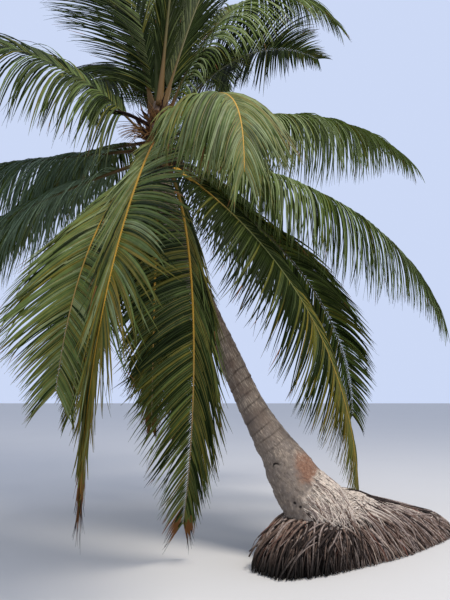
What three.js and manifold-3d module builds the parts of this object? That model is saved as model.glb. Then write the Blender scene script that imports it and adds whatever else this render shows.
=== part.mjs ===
// Coconut palm: a leaning trunk that flares into a long mass of bare roots,
// with a full crown of feather-shaped fronds.
// Millimetres and degrees, +Z up, ground level at z = 0, origin at the foot of the trunk.
// Azimuth 0 is +X and 90 is +Y.

import * as THREE from 'three';
import { mergeVertices } from 'three/addons/utils/BufferGeometryUtils.js';
import Module from 'manifold-3d';

const wasm = await Module();
wasm.setup();

// Clearance between pieces that touch
const GAP = 0.3;
// Clearance across a frond that is split at its bend
const SPLIT_GAP = 0.5;
// Slack that a leaflet keeps from anything it passes
const LEAFLET_SLACK = 1.5;
// Lowest height that a frond reaches
const LOWEST_LEAFLET = 60;

// Trunk: centre and radius at each height, from the flat cut to the growing tip
const trunkStations = [
  { z: 0, x: -50, y: 10, radius: 345 },
  { z: 200, x: -60, y: 15, radius: 352 },
  { z: 380, x: -85, y: 25, radius: 352 },
  { z: 500, x: -125, y: 40, radius: 345 },
  { z: 640, x: -200, y: 65, radius: 318 },
  { z: 780, x: -305, y: 100, radius: 262 },
  { z: 965, x: -418, y: 148, radius: 210 },
  { z: 1240, x: -600, y: 205, radius: 158 },
  { z: 1560, x: -782, y: 290, radius: 133 },
  { z: 1980, x: -975, y: 392, radius: 126 },
  { z: 2500, x: -1215, y: 510, radius: 119 },
  { z: 3100, x: -1450, y: 640, radius: 116 },
  { z: 3700, x: -1665, y: 765, radius: 114 },
  { z: 4200, x: -1815, y: 852, radius: 112 },
  { z: 4600, x: -1838, y: 868, radius: 98 },
  { z: 5150, x: -1856, y: 880, radius: 46 },
];
const TRUNK_SIDES = 20;
const TRUNK_RINGS = 30;
// Heights between which its sections turn from level to square with the lean
const TRUNK_SQUARE_START = 300;
const TRUNK_SQUARE_END = 1100;

// Crown: the axis that the frond stalks leave, and the fibre sleeve round it
const crownLow = new THREE.Vector3(-1820, 860, 4220);
const crownAxis = new THREE.Vector3(-40, 20, 1000).normalize();
const SLEEVE_START = 60;
const SLEEVE_END = 780;
const SLEEVE_RADIUS_LOW = 165;
const SLEEVE_RADIUS_HIGH = 100;
const SLEEVE_SWELL = 0.1;
const SLEEVE_RIPPLE = 0.05;
const SLEEVE_SIDES = 14;
const SLEEVE_RINGS = 6;

// Spear: the folded young leaf that stands on the tip
const SPEAR_LENGTH = 2300;
const SPEAR_RADIUS = 42;
const SPEAR_DRIFT_X = -60;
const SPEAR_DRIFT_Y = 30;
// Place along the spear, and its radius there as a share
const spearShape = [[0, 0.9], [0.12, 1], [0.5, 0.78], [0.85, 0.36], [1, 0.06]];
// Sides of the spear and of each husk
const SLIM_SIDES = 6;

// Dry sheaths of old flower stalks
const HUSK_LENGTH = 620;
const HUSK_WIDTH = 74;
const HUSK_THICKNESS = 34;
const HUSK_DROOP = 50;
const huskShape = [[0, 0.35], [0.25, 0.8], [0.6, 1], [0.85, 0.55], [1, 0.08]];
const huskTable = [
  { name: 'husk_left', azimuth: 186, seat: 560, rise: 38 },
  { name: 'husk_left_front', azimuth: 222, seat: 500, rise: 30 },
  { name: 'husk_front', azimuth: -88, seat: 440, rise: 10 },
];

// Frond rib and leaflets. A stalk starts this far out from the crown's axis, less for a higher seat.
const STALK_START = 150;
const STALK_START_TAPER = 0.11;
const RIB_SEGMENTS = 16;
const BARE_SEGMENTS = 2;
const SUBSTEPS = 3;
const RIB_WIDTH_BASE = 128;
const RIB_WIDTH_LOW = 66;
const RIB_WIDTH_TIP = 13;
const RIB_HEIGHT_BASE = 62;
const RIB_HEIGHT_TIP = 12;
const STALK_SHARE = 0.14;
const LEAFLET_LENGTH = 1130;
const LEAFLET_SHORT_BASE = 0.5;
const LEAFLET_SHORT_TIP = 0.34;
// Places along the leafy part of the rib where leaflets reach full length, and start to shorten
const LEAFLET_FULL_START = 0.28;
const LEAFLET_FULL_END = 0.5;
const LEAFLET_WIDTH_SHARE = 0.6;
const LEAFLET_WIDTH_LEAST = 40;
const LEAFLET_THICKNESS = 12;
const LEAFLET_ANGLE_BASE = 66;
const LEAFLET_ANGLE_TIP = 20;
const LEAFLET_RAISE = 14;
// How much of a frond's hang its leaflets take in their inner and outer halves
const LEAFLET_HANG_INNER = 0.45;
const LEAFLET_HANG_OUTER = 1.05;
// Past this place along the rib the hang eases to this share of itself
const LEAFLET_EASE_START = 0.6;
const LEAFLET_HANG_TIP = 0.45;
const LEAFLET_ANGLE_MOST = 84;
// How closely clinging leaflets lie to the rib, and over what stretch they close up
const LEAFLET_CLING = 0.75;
const LEAFLET_CLING_BEFORE = 0.1;
const LEAFLET_CLING_AFTER = 0.05;
const SPLIT_BEND = 54;
// How many stations of each stalk the stalks above it are cut clear of
const STALK_ROOM_STATIONS = 6;
// A leaflet that touches something turns, then shortens, through these tries
const leafletTries = [
  { turn: 0, share: 1 },
  { turn: 0.35, share: 1 },
  { turn: -0.35, share: 1 },
  { turn: 0.7, share: 0.9 },
  { turn: 0, share: 0.75 },
  { turn: -0.5, share: 0.75 },
  { turn: 0.35, share: 0.6 },
  { turn: 0, share: 0.45 },
];

// Fronds: heading and rise at the stalk, how far each bends down and sweeps round on its way to
// the tip, how late along its length it does so, the height of its seat, how far its leaflets hang
// on the first and the second side, how far its blade is rolled about the rib, and how long its
// leaflets are. Then, where a frond differs from most, how far wind blows hanging leaflets towards
// -X, how widely they spread at the stalk and at the tip on each side, and where they start to cling.
const FROND_BLOW = 0.05;
const FROND_SPREAD = [1, 1];
const frondTable = [
  { name: 'front_crest', azimuth: -66, rise: -6.4, bend: 63, sweep: -25, ease: 2, seat: 500,
    length: 3700, hang: [2.4, 1.4], roll: 0, leaf: 1.1, spread: [0.8, 1] },
  { name: 'left_arch', azimuth: 197, rise: 45, bend: 123, sweep: 0, ease: 1.4, seat: 420, length: 4400,
    hang: [0.9, 2.6], roll: 25, leaf: 1.2 },
  { name: 'left_upright', azimuth: 133, rise: 74, bend: 55, sweep: 0, ease: 1.3, seat: 740,
    length: 4300, hang: [0.45, 0.45], roll: 40, leaf: 1, blow: 0 },
  { name: 'centre_upright', azimuth: -58, rise: 80, bend: 34, sweep: 0, ease: 2.4, seat: 860,
    length: 4200, hang: [0.3, 0.3], roll: 0, leaf: 1, blow: 0 },
  { name: 'right_upright', azimuth: 42, rise: 73, bend: 36, sweep: 0, ease: 2.6, seat: 810,
    length: 4200, hang: [0.3, 0.3], roll: -45, leaf: 1, blow: 0 },
  { name: 'right_crest', azimuth: 30, rise: 70, bend: 96, sweep: 8, ease: 2, seat: 640, length: 4400,
    hang: [1.6, 1.6], roll: -20, leaf: 1, blow: 0.1 },
  { name: 'right_fan', azimuth: 47, rise: 57, bend: 50, sweep: 0, ease: 1.3, seat: 560, length: 4400,
    hang: [0.5, 0.5], roll: 30, leaf: 0.95, blow: 0, spread: [1, 1.3], spreadBack: [1, 1.3] },
  { name: 'right_arch', azimuth: 24, rise: 26, bend: 59, sweep: 2, ease: 1.8, seat: 430, length: 4100,
    hang: [2.4, 2.4], roll: 0, leaf: 1, blow: 0.2 },
  { name: 'right_sweep', azimuth: -4, rise: -13, bend: 58, sweep: 9, ease: 1.9, seat: 320, length: 4000,
    hang: [2.6, 2.6], roll: 0, leaf: 1, blow: 0.3 },
  { name: 'right_low', azimuth: -14, rise: -38, bend: 51, sweep: -2, ease: 1.3, seat: 120, length: 4400,
    hang: [1.2, 1.2], roll: -28, leaf: 1, blow: 0.6, spread: [1.35, 1.35], spreadBack: [1.1, 0.4] },
  { name: 'right_low_rear', azimuth: 26, rise: -25, bend: 67, sweep: 0, ease: 1.7, seat: 200,
    length: 4400, hang: [0.8, 0.5], roll: 20, leaf: 0.85, blow: 0.1, spread: [0.1, 2],
    spreadBack: [0.6, 1.7] },
  { name: 'front_hanging', azimuth: -66, rise: -27, bend: 86, sweep: -5, ease: 0.7, seat: 90,
    length: 4400, hang: [0.35, 0.9], roll: 0, leaf: 0.9, spread: [1.2, 2], spreadBack: [0, 1.1] },
  { name: 'front_left_long', azimuth: -85, rise: -20, bend: 69, sweep: -28, ease: 0.8, seat: 400,
    length: 4700, hang: [0.3, 0.3], roll: -15, leaf: 1, blow: 0, spread: [0.4, 0],
    spreadBack: [1.4, 1.1], cling: 0.72 },
  { name: 'front_left', azimuth: -116, rise: -41, bend: 35, sweep: 21, ease: 1.2, seat: 200,
    length: 3400, hang: [0.4, 0.4], roll: 0, leaf: 1.05, blow: 0, spread: [0, 1.9],
    spreadBack: [0.9, 1.9] },
  { name: 'left_level', azimuth: 165, rise: 2, bend: 16, sweep: 0, ease: 1.6, seat: 320, length: 4400,
    hang: [2.6, 2.6], roll: 0, leaf: 1.15 },
  { name: 'left_low', azimuth: 172, rise: -16, bend: 35, sweep: 0, ease: 1.5, seat: 180, length: 4300,
    hang: [2, 2], roll: 0, leaf: 1.15 },
  { name: 'rear_upright_middle', azimuth: 100, rise: 74, bend: 52, sweep: 0, ease: 1.8, seat: 780,
    length: 4100, hang: [0.4, 0.4], roll: 0, leaf: 1, blow: 0 },
  { name: 'rear_upright_left', azimuth: 115, rise: 55, bend: 80, sweep: 0, ease: 1.6, seat: 640,
    length: 4300, hang: [0.9, 0.9], roll: 0, leaf: 1 },
  { name: 'rear_upright_right', azimuth: 76, rise: 62, bend: 80, sweep: 0, ease: 1.6, seat: 700,
    length: 4300, hang: [0.8, 0.8], roll: 0, leaf: 1 },
  { name: 'rear_arch_right', azimuth: 64, rise: 30, bend: 80, sweep: 0, ease: 1.6, seat: 500,
    length: 4300, hang: [2, 2], roll: 0, leaf: 1, blow: 0.1 },
  { name: 'rear_arch_left', azimuth: 138, rise: 12, bend: 72, sweep: 0, ease: 1.6, seat: 440,
    length: 4200, hang: [2.2, 2.2], roll: 0, leaf: 1 },
  { name: 'rear_level', azimuth: 102, rise: 4, bend: 75, sweep: 0, ease: 1.5, seat: 380, length: 4300,
    hang: [2, 2], roll: 0, leaf: 1 },
  { name: 'rear_level_right', azimuth: 58, rise: 0, bend: 62, sweep: 0, ease: 1.5, seat: 300,
    length: 4200, hang: [2, 2], roll: 0, leaf: 1, blow: 0.1 },
  { name: 'rear_low_left', azimuth: 124, rise: -30, bend: 50, sweep: 0, ease: 1.4, seat: 240,
    length: 4300, hang: [0.9, 0.9], roll: 0, leaf: 1 },
  { name: 'rear_low', azimuth: 88, rise: -36, bend: 48, sweep: 0, ease: 1.4, seat: 160, length: 4300,
    hang: [0.9, 0.9], roll: 0, leaf: 1 },
  { name: 'rear_hanging', azimuth: 98, rise: -50, bend: 30, sweep: 0, ease: 1.2, seat: 60, length: 3600,
    hang: [0.4, 0.4], roll: 0, leaf: 0.85 },
];

// Root mass: a long ridge that runs out from the foot of the trunk, level with the ground below
const RIDGE_AZIMUTH = 37;
const ridgeStations = [
  { along: -600, height: 230, width: 190, skirt: 270 },
  { along: -400, height: 395, width: 260, skirt: 370 },
  { along: -100, height: 560, width: 300, skirt: 400 },
  { along: 180, height: 640, width: 305, skirt: 385 },
  { along: 380, height: 600, width: 290, skirt: 365 },
  { along: 620, height: 510, width: 265, skirt: 345 },
  { along: 950, height: 425, width: 235, skirt: 315 },
  { along: 1350, height: 325, width: 200, skirt: 255 },
  { along: 1700, height: 225, width: 160, skirt: 190 },
  { along: 1880, height: 130, width: 110, skirt: 115 },
];
// The bole starts inside the trunk and runs out to the far end
const BOLE_START = -100;
const BOLE_LUMP = 0.035;
const BOLE_ROUNDNESS = 0.8;
const RIDGE_ARC_STEPS = 9;
const RIDGE_CORE_START = -420;
const RIDGE_CORE_END = 1700;

// Root skirt: thin roots that hang from the ridge and spread to the ground
const SKIRT_CLUMPS = 72;
const SKIRT_START = -860;
const SKIRT_END = 1990;
const SKIRT_WIDTH_LOW = 385;
const SKIRT_WIDTH_END = 250;
const SKIRT_NARROW_START = 500;
const SKIRT_ROUNDNESS = 0.62;
// Outline of the skirt from the ground to its top, as shares of its reach and its height
const skirtProfile = [[1, 0], [0.99, 0.42], [0.86, 0.82], [0.6, 1], [0.2, 1.02]];
const CLUMP_DEPTH = 34;
const CLUMP_STRAY = 26;
const CLUMP_SEED = 7;
const STRAY_ROOTS = 40;
const STRAY_ROOT_RADIUS = 15;
const STRAY_ROOT_REACH = 95;
const STRAY_ROOT_DRIFT = 220;
const STRAY_ROOT_SEED = 19;
// Places along the ridge where the skirt is parted, and the blocks that part it
const SKIRT_PART_LEFT = -330;
const SKIRT_PART_RIGHT = 850;
const BLOCK_REACH = 2600;
const BLOCK_WIDTH = 900;
const BLOCK_BOTTOM = -10;
const BLOCK_TOP = 1200;

const colours = {
  trunk: 0x8a7a68,
  bole: 0xb5a48c,
  roots: 0x5c4c44,
  sleeve: 0x6b4a30,
  spear: 0x8f9a4a,
  husk: 0x4a3324,
  frond: 0x5a6a2e,
};

function degrees(value) {
  return THREE.MathUtils.degToRad(value);
}

function mix(a, b, t) {
  return a + (b - a) * t;
}

// Small repeatable random numbers between 0 and 1
function seededRandom(seed) {
  let state = seed;
  return () => {
    state = (state * 1664525 + 1013904223) % 4294967296;
    return state / 4294967296;
  };
}

// A value from rows of stations, along a smooth curve through them
function smoothStations(rows, keys) {
  const curves = keys.map((key) => new THREE.CatmullRomCurve3(
    rows.map((row, i) => new THREE.Vector3(i, row[key], 0)), false, 'catmullrom', 0.5));
  return (share) => Object.fromEntries(keys.map((key, i) => [key, curves[i].getPoint(share).y]));
}

// Turns lists of points and triangles into a solid with its faces pointing out
function solidFromFaces(points, triangles) {
  const vertProperties = new Float32Array(points.flatMap((p) => [p.x, p.y, p.z]));
  const solidOf = (faces) => new wasm.Manifold(
    new wasm.Mesh({ numProp: 3, vertProperties, triVerts: new Uint32Array(faces.flat()) }));
  const solid = solidOf(triangles);
  if (solid.volume() > 0) return solid;
  solid.delete();
  return solidOf(triangles.map((face) => [...face].reverse()));
}

// Skins rings of equal count into a closed solid, with a fan over each end.
// Rings run anticlockwise seen from the far end of the loft.
function loft(rings) {
  const sides = rings[0].length;
  const points = rings.flat();
  const triangles = [];
  for (let r = 0; r + 1 < rings.length; r += 1) {
    for (let i = 0; i < sides; i += 1) {
      const a = r * sides + i;
      const b = r * sides + ((i + 1) % sides);
      triangles.push([a, b, b + sides], [a, b + sides, a + sides]);
    }
  }
  const closeEnd = (ring, start, flip) => {
    const centre = ring.reduce((sum, p) => sum.add(p), new THREE.Vector3()).divideScalar(sides);
    const centreIndex = points.push(centre) - 1;
    for (let i = 0; i < sides; i += 1) {
      const a = start + i;
      const b = start + ((i + 1) % sides);
      triangles.push(flip ? [centreIndex, b, a] : [centreIndex, a, b]);
    }
  };
  closeEnd(rings[0], 0, true);
  closeEnd(rings[rings.length - 1], (rings.length - 1) * sides, false);
  return solidFromFaces(points, triangles);
}

// Keeps the largest body where a cut leaves scraps
function largestBody(solid) {
  const bodies = solid.decompose();
  return bodies.reduce((best, body) => (body.volume() > best.volume() ? body : best));
}

// Exact shape back to a geometry for three.js
function geometryOf(solid) {
  const mesh = solid.getMesh();
  const geometry = new THREE.BufferGeometry();
  geometry.setAttribute('position', new THREE.BufferAttribute(new Float32Array(mesh.vertProperties), 3));
  geometry.setIndex(new THREE.BufferAttribute(new Uint32Array(mesh.triVerts), 1));
  return mergeVertices(geometry, 1e-3);
}

const palm = new THREE.Group();

function addPiece(name, solid, colour) {
  const material = new THREE.MeshStandardMaterial({ color: colour, roughness: 0.85, metalness: 0 });
  const piece = new THREE.Mesh(geometryOf(solid), material);
  piece.name = name;
  palm.add(piece);
}

// Trunk: level sections, stretched along the lean so that it stays round across its axis
function trunkSolid(extra) {
  const at = smoothStations(trunkStations, ['z', 'x', 'y', 'radius']);
  const rings = [];
  for (let r = 0; r <= TRUNK_RINGS; r += 1) {
    const share = r / TRUNK_RINGS;
    const here = at(share);
    const below = at(Math.max(share - 0.01, 0));
    const above = at(Math.min(share + 0.01, 1));
    const lean = new THREE.Vector3(above.x - below.x, above.y - below.y, above.z - below.z).normalize();
    const blend = THREE.MathUtils.smoothstep(here.z, TRUNK_SQUARE_START, TRUNK_SQUARE_END);
    const stretch = mix(1, 1 / lean.z, blend);
    const along = new THREE.Vector3(lean.x, lean.y, 0).normalize();
    const across = new THREE.Vector3(-along.y, along.x, 0);
    const height = r === TRUNK_RINGS ? here.z + extra : here.z;
    const ring = [];
    for (let i = 0; i < TRUNK_SIDES; i += 1) {
      const turn = (i / TRUNK_SIDES) * 2 * Math.PI - Math.atan2(along.y, along.x);
      const radius = here.radius + extra;
      ring.push(new THREE.Vector3(here.x, here.y, height)
        .addScaledVector(along, Math.cos(turn) * radius * stretch)
        .addScaledVector(across, Math.sin(turn) * radius));
    }
    rings.push(ring);
  }
  return loft(rings);
}

function crownPoint(height) {
  return crownLow.clone().addScaledVector(crownAxis, height);
}

// Fibre sleeve of old leaf bases round the top of the trunk
function sleeveSolid(extra) {
  const rings = [];
  for (let r = 0; r <= SLEEVE_RINGS; r += 1) {
    const share = r / SLEEVE_RINGS;
    const centre = crownPoint(mix(SLEEVE_START - extra, SLEEVE_END + extra, share));
    const swell = 1 + SLEEVE_SWELL * Math.sin(share * Math.PI);
    const ring = [];
    for (let i = 0; i < SLEEVE_SIDES; i += 1) {
      const turn = (i / SLEEVE_SIDES) * 2 * Math.PI;
      const ripple = 1 + SLEEVE_RIPPLE * Math.cos(3 * turn + 4 * share);
      const radius = mix(SLEEVE_RADIUS_LOW, SLEEVE_RADIUS_HIGH, share) * swell * ripple + extra;
      ring.push(new THREE.Vector3(Math.cos(turn) * radius, Math.sin(turn) * radius, 0).add(centre));
    }
    rings.push(ring);
  }
  return loft(rings);
}

// Young leaf, still folded, that rises from the tip of the trunk
function spearSolid() {
  const tip = trunkStations[trunkStations.length - 1];
  const foot = new THREE.Vector3(tip.x, tip.y, tip.z + GAP);
  return loft(spearShape.map(([share, size]) => {
    const centre = foot.clone()
      .add(new THREE.Vector3(SPEAR_DRIFT_X * share * share, SPEAR_DRIFT_Y * share, SPEAR_LENGTH * share));
    return Array.from({ length: SLIM_SIDES }, (_, i) => {
      const turn = (i / SLIM_SIDES) * 2 * Math.PI;
      const radius = SPEAR_RADIUS * size;
      return new THREE.Vector3(Math.cos(turn) * radius, Math.sin(turn) * radius, 0).add(centre);
    });
  }));
}

// Curved dry husk: a slim boat that leaves the crown and droops
function huskSolid({ azimuth, seat, rise }) {
  const heading = new THREE.Vector3(Math.cos(degrees(azimuth)), Math.sin(degrees(azimuth)), 0);
  const side = new THREE.Vector3(heading.y, -heading.x, 0);
  const centre = crownPoint(seat);
  let walked = 0;
  return loft(huskShape.map(([share, size]) => {
    const slope = degrees(rise - HUSK_DROOP * share);
    const forward = heading.clone().multiplyScalar(Math.cos(slope)).setZ(Math.sin(slope));
    centre.addScaledVector(forward, (share - walked) * (HUSK_LENGTH + SLEEVE_RADIUS_LOW));
    walked = share;
    const up = new THREE.Vector3().crossVectors(side, forward);
    return Array.from({ length: SLIM_SIDES }, (_, i) => {
      const turn = (i / SLIM_SIDES) * 2 * Math.PI;
      return centre.clone()
        .addScaledVector(side, Math.cos(turn) * HUSK_WIDTH * size * 0.5)
        .addScaledVector(up, Math.sin(turn) * HUSK_THICKNESS * size * 0.5);
    });
  }));
}

// Rib of a frond: points, directions and section sizes at each station
function ribStations(frond) {
  const steps = RIB_SEGMENTS * SUBSTEPS;
  const azimuth = degrees(frond.azimuth);
  const point = crownPoint(frond.seat).add(new THREE.Vector3(Math.cos(azimuth), Math.sin(azimuth), 0)
    .multiplyScalar(STALK_START - STALK_START_TAPER * frond.seat));
  const directionAt = (share) => {
    const slope = degrees(frond.rise - frond.bend * share ** frond.ease);
    const heading = degrees(frond.azimuth + frond.sweep * share ** frond.ease);
    return {
      forward: new THREE.Vector3(
        Math.cos(slope) * Math.cos(heading), Math.cos(slope) * Math.sin(heading), Math.sin(slope)),
      side: new THREE.Vector3(Math.sin(heading), -Math.cos(heading), 0),
    };
  };
  const stations = [];
  for (let step = 0; step <= steps; step += 1) {
    const share = step / steps;
    const { forward, side } = directionAt(share);
    if (step % SUBSTEPS === 0) {
      const roll = degrees(frond.roll);
      const over = new THREE.Vector3().crossVectors(side, forward);
      const rolledSide = side.clone().multiplyScalar(Math.cos(roll)).addScaledVector(over, Math.sin(roll));
      const taper = Math.max((share - STALK_SHARE) / (1 - STALK_SHARE), 0);
      const flare = Math.max(1 - share / STALK_SHARE, 0);
      stations.push({
        share,
        point: point.clone(),
        forward,
        side: rolledSide,
        up: new THREE.Vector3().crossVectors(rolledSide, forward),
        width: mix(RIB_WIDTH_LOW, RIB_WIDTH_TIP, taper) + (RIB_WIDTH_BASE - RIB_WIDTH_LOW) * flare,
        height: mix(RIB_HEIGHT_BASE, RIB_HEIGHT_TIP, share ** 0.8),
      });
    }
    point.addScaledVector(directionAt((step + 0.5) / steps).forward, frond.length / steps);
  }
  return stations;
}

// Four corners of the rib at a station: left low, right low, right high, left high
function ribCorners(station, extra) {
  const half = station.width / 2 + extra;
  const depth = station.height / 2 + extra;
  const corners = [[-half, -depth], [half, -depth], [half, depth], [-half, depth]];
  return corners.map(([across, up]) => station.point.clone()
    .addScaledVector(station.side, across)
    .addScaledVector(station.up, up));
}

// How long a leaflet is at its place along the rib
function leafletLength(share) {
  const place = (share - STALK_SHARE) / (1 - STALK_SHARE);
  const rising = mix(LEAFLET_SHORT_BASE, 1, THREE.MathUtils.smoothstep(place, 0, LEAFLET_FULL_START));
  const falling = mix(1, LEAFLET_SHORT_TIP, THREE.MathUtils.smoothstep(place, LEAFLET_FULL_END, 1));
  return LEAFLET_LENGTH * rising * falling;
}

// Angle in degrees between the rib and a leaflet that starts at its place along the rib
function leafletAngle(share, way, frond) {
  const [atStalk, atTip] = (way > 0 ? frond.spread : frond.spreadBack) ?? FROND_SPREAD;
  const open = mix(LEAFLET_ANGLE_BASE, LEAFLET_ANGLE_TIP, share) * mix(atStalk, atTip, share);
  if (!frond.cling) return Math.min(open, LEAFLET_ANGLE_MOST);
  const closed = THREE.MathUtils.smoothstep(
    share, frond.cling - LEAFLET_CLING_BEFORE, frond.cling + LEAFLET_CLING_AFTER);
  return Math.min(open * (1 - LEAFLET_CLING * closed), LEAFLET_ANGLE_MOST);
}

// Outer points of one leaflet: four at its middle and one at its tip
function leafletPoints(low, high, way, frond, attempt) {
  const share = (low.share + high.share) / 2;
  const root = low.point.clone().add(high.point).multiplyScalar(0.5)
    .addScaledVector(low.side, way * (low.width + high.width) / 4);
  const angle = degrees(leafletAngle(share, way, frond));
  const raise = degrees(LEAFLET_RAISE);
  const away = low.side.clone().multiplyScalar(way * Math.cos(raise))
    .addScaledVector(low.up, Math.sin(raise));
  const start = low.forward.clone().multiplyScalar(Math.cos(angle)).addScaledVector(away, Math.sin(angle));
  const length = leafletLength(share) * frond.leaf * attempt.share;
  const half = length / 2;
  const segment = high.point.distanceTo(low.point);
  const eased = mix(1, LEAFLET_HANG_TIP, THREE.MathUtils.smoothstep(share, LEAFLET_EASE_START, 1));
  const hang = frond.hang[way > 0 ? 0 : 1] * eased + attempt.turn;
  const fall = new THREE.Vector3(-(frond.blow ?? FROND_BLOW), 0, -1);
  const bent = (amount) => start.clone().addScaledVector(fall, hang * amount).normalize();
  const first = bent(LEAFLET_HANG_INNER);
  const second = bent(LEAFLET_HANG_OUTER);
  const middle = root.clone().addScaledVector(first, half);
  const tip = middle.clone().addScaledVector(second, half);
  const slant = Math.sqrt(Math.max(1 - first.dot(low.forward) ** 2, 0));
  const width = Math.max(segment * LEAFLET_WIDTH_SHARE * slant, LEAFLET_WIDTH_LEAST) / 2;
  const along = low.forward.clone().addScaledVector(first, -first.dot(low.forward)).normalize();
  const over = new THREE.Vector3().crossVectors(along, first).normalize();
  if (over.dot(low.up) < 0) over.negate();
  const thickness = LEAFLET_THICKNESS / 2;
  const corner = (a, b) => middle.clone()
    .addScaledVector(along, a * width).addScaledVector(over, b * thickness);
  return {
    lowUnder: corner(-1, -1),
    lowOver: corner(-1, 1),
    highUnder: corner(1, -1),
    highOver: corner(1, 1),
    tip,
  };
}

// Faces of one leaflet between its root corners and its tip
function leafletFaces(root, outer, points, triangles, way) {
  const ids = [root.lowUnder, root.lowOver, root.highOver, root.highUnder];
  const start = points.push(outer.lowUnder, outer.lowOver, outer.highOver, outer.highUnder, outer.tip) - 5;
  for (let i = 0; i < 4; i += 1) {
    const next = (i + 1) % 4;
    const inner = [[ids[i], ids[next], start + next], [ids[i], start + next, start + i]];
    const outerFace = [start + i, start + next, start + 4];
    [...inner, outerFace].forEach((face) => triangles.push(way < 0 ? face : [...face].reverse()));
  }
}

// A leaflet on its own, just clear of its rib, for the test against what is already there
function leafletProbe(low, high, way, outer) {
  const points = [];
  const triangles = [];
  const rootCorners = [low, high].flatMap((station) => {
    const [leftLow, rightLow, rightHigh, leftHigh] = ribCorners(station, 0);
    return way > 0 ? [rightLow, rightHigh] : [leftLow, leftHigh];
  });
  const middle = [outer.lowUnder, outer.lowOver, outer.highUnder, outer.highOver];
  const roots = rootCorners.map((corner, i) => corner.clone().lerp(middle[i], 0.02));
  const centre = middle.reduce((sum, p) => sum.add(p), new THREE.Vector3()).divideScalar(4);
  const swell = (p) => p.clone().addScaledVector(p.clone().sub(centre).normalize(), LEAFLET_SLACK);
  points.push(...roots);
  const grown = Object.fromEntries(Object.entries(outer).map(([key, p]) => [key, swell(p)]));
  leafletFaces({ lowUnder: 0, lowOver: 1, highUnder: 2, highOver: 3 }, grown, points, triangles, way);
  const close = [[0, 2, 3], [0, 3, 1]];
  close.forEach((face) => triangles.push(way < 0 ? face : [...face].reverse()));
  return solidFromFaces(points, triangles);
}

function boxesMeet(a, b) {
  return [0, 1, 2].every((i) => a.min[i] <= b.max[i] && b.min[i] <= a.max[i]);
}

// Everything that leaflets keep clear of, with its box
const obstacles = [];

function addObstacle(solid, owner) {
  obstacles.push({ solid, box: solid.boundingBox(), owner });
}

function touchesSomething(probe, owner) {
  const box = probe.boundingBox();
  return obstacles.some((other) => {
    if (other.owner === owner || !boxesMeet(box, other.box)) return false;
    const shared = probe.intersect(other.solid);
    const hit = !shared.isEmpty();
    shared.delete();
    return hit;
  });
}

// Finds the first try of a leaflet that passes clear, or none
function placeLeaflet(low, high, way, frond) {
  for (const attempt of leafletTries) {
    const outer = leafletPoints(low, high, way, frond, attempt);
    const lowest = Math.min(...Object.values(outer).map((p) => p.z));
    if (lowest > LOWEST_LEAFLET) {
      const probe = leafletProbe(low, high, way, outer);
      if (probe.volume() > 0 && !touchesSomething(probe, frond.name)) {
        addObstacle(probe, frond.name);
        return outer;
      }
      probe.delete();
    }
  }
  return null;
}

// One stretch of a rib. Where leafletAt gives a leaflet's outer points for a segment and a side,
// the leaflet grows on from the rib's own corners.
function ribSolid(stations, extra, leafletAt) {
  const points = stations.flatMap((station) => ribCorners(station, extra));
  const triangles = [];
  const addQuad = (a, b, c, d) => triangles.push([a, b, c], [a, c, d]);
  for (let s = 0; s + 1 < stations.length; s += 1) {
    const at = s * 4;
    const next = at + 4;
    addQuad(at + 1, at, next, next + 1);
    addQuad(at + 3, at + 2, next + 2, next + 3);
    for (const way of [1, -1]) {
      const [under, over] = way > 0 ? [1, 2] : [0, 3];
      const outer = leafletAt(s, way);
      if (outer) {
        const [lowUnder, lowOver, highUnder, highOver] = [at + under, at + over, next + under, next + over];
        leafletFaces({ lowUnder, lowOver, highUnder, highOver }, outer, points, triangles, way);
      } else if (way > 0) {
        addQuad(at + 2, at + 1, next + 1, next + 2);
      } else {
        addQuad(at, at + 3, next + 3, next);
      }
    }
  }
  const last = (stations.length - 1) * 4;
  addQuad(0, 1, 2, 3);
  addQuad(last + 3, last + 2, last + 1, last);
  return solidFromFaces(points, triangles);
}

// The rib alone, grown on every side by a clearance
function ribRoom(stations, extra) {
  const [first, ...others] = stations;
  const lower = { ...first, point: first.point.clone().addScaledVector(first.forward, -extra) };
  return ribSolid([lower, ...others], extra, () => null);
}

// A stretch of a frond, with a leaflet on each side of each segment past the bare stalk
function frondSolid(frond, stations, firstSegment) {
  return ribSolid(stations, 0, (segment, way) => (firstSegment + segment < BARE_SEGMENTS
    ? null : placeLeaflet(stations[segment], stations[segment + 1], way, frond)));
}

// Splits a strongly bent frond at the bend, into a stalk half and a tip half
function frondHalves(frond, stations) {
  if (frond.bend < SPLIT_BEND) return [{ name: `frond_${frond.name}`, stations, first: 0 }];
  const at = Math.round(0.5 ** (1 / frond.ease) * RIB_SEGMENTS);
  const tipHalf = stations.slice(at);
  const start = tipHalf[0];
  tipHalf[0] = { ...start, point: start.point.clone().addScaledVector(start.forward, SPLIT_GAP) };
  return [
    { name: `frond_${frond.name}`, stations: stations.slice(0, at + 1), first: 0 },
    { name: `frond_${frond.name}_tip`, stations: tipHalf, first: at },
  ];
}

// Root mass: points in the ridge's own directions
const ridgeAlong = new THREE.Vector3(Math.cos(degrees(RIDGE_AZIMUTH)), Math.sin(degrees(RIDGE_AZIMUTH)), 0);
const ridgeAcross = new THREE.Vector3(ridgeAlong.y, -ridgeAlong.x, 0);

function ridgePoint(along, across, height) {
  return new THREE.Vector3(0, 0, height)
    .addScaledVector(ridgeAlong, along).addScaledVector(ridgeAcross, across);
}

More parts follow.
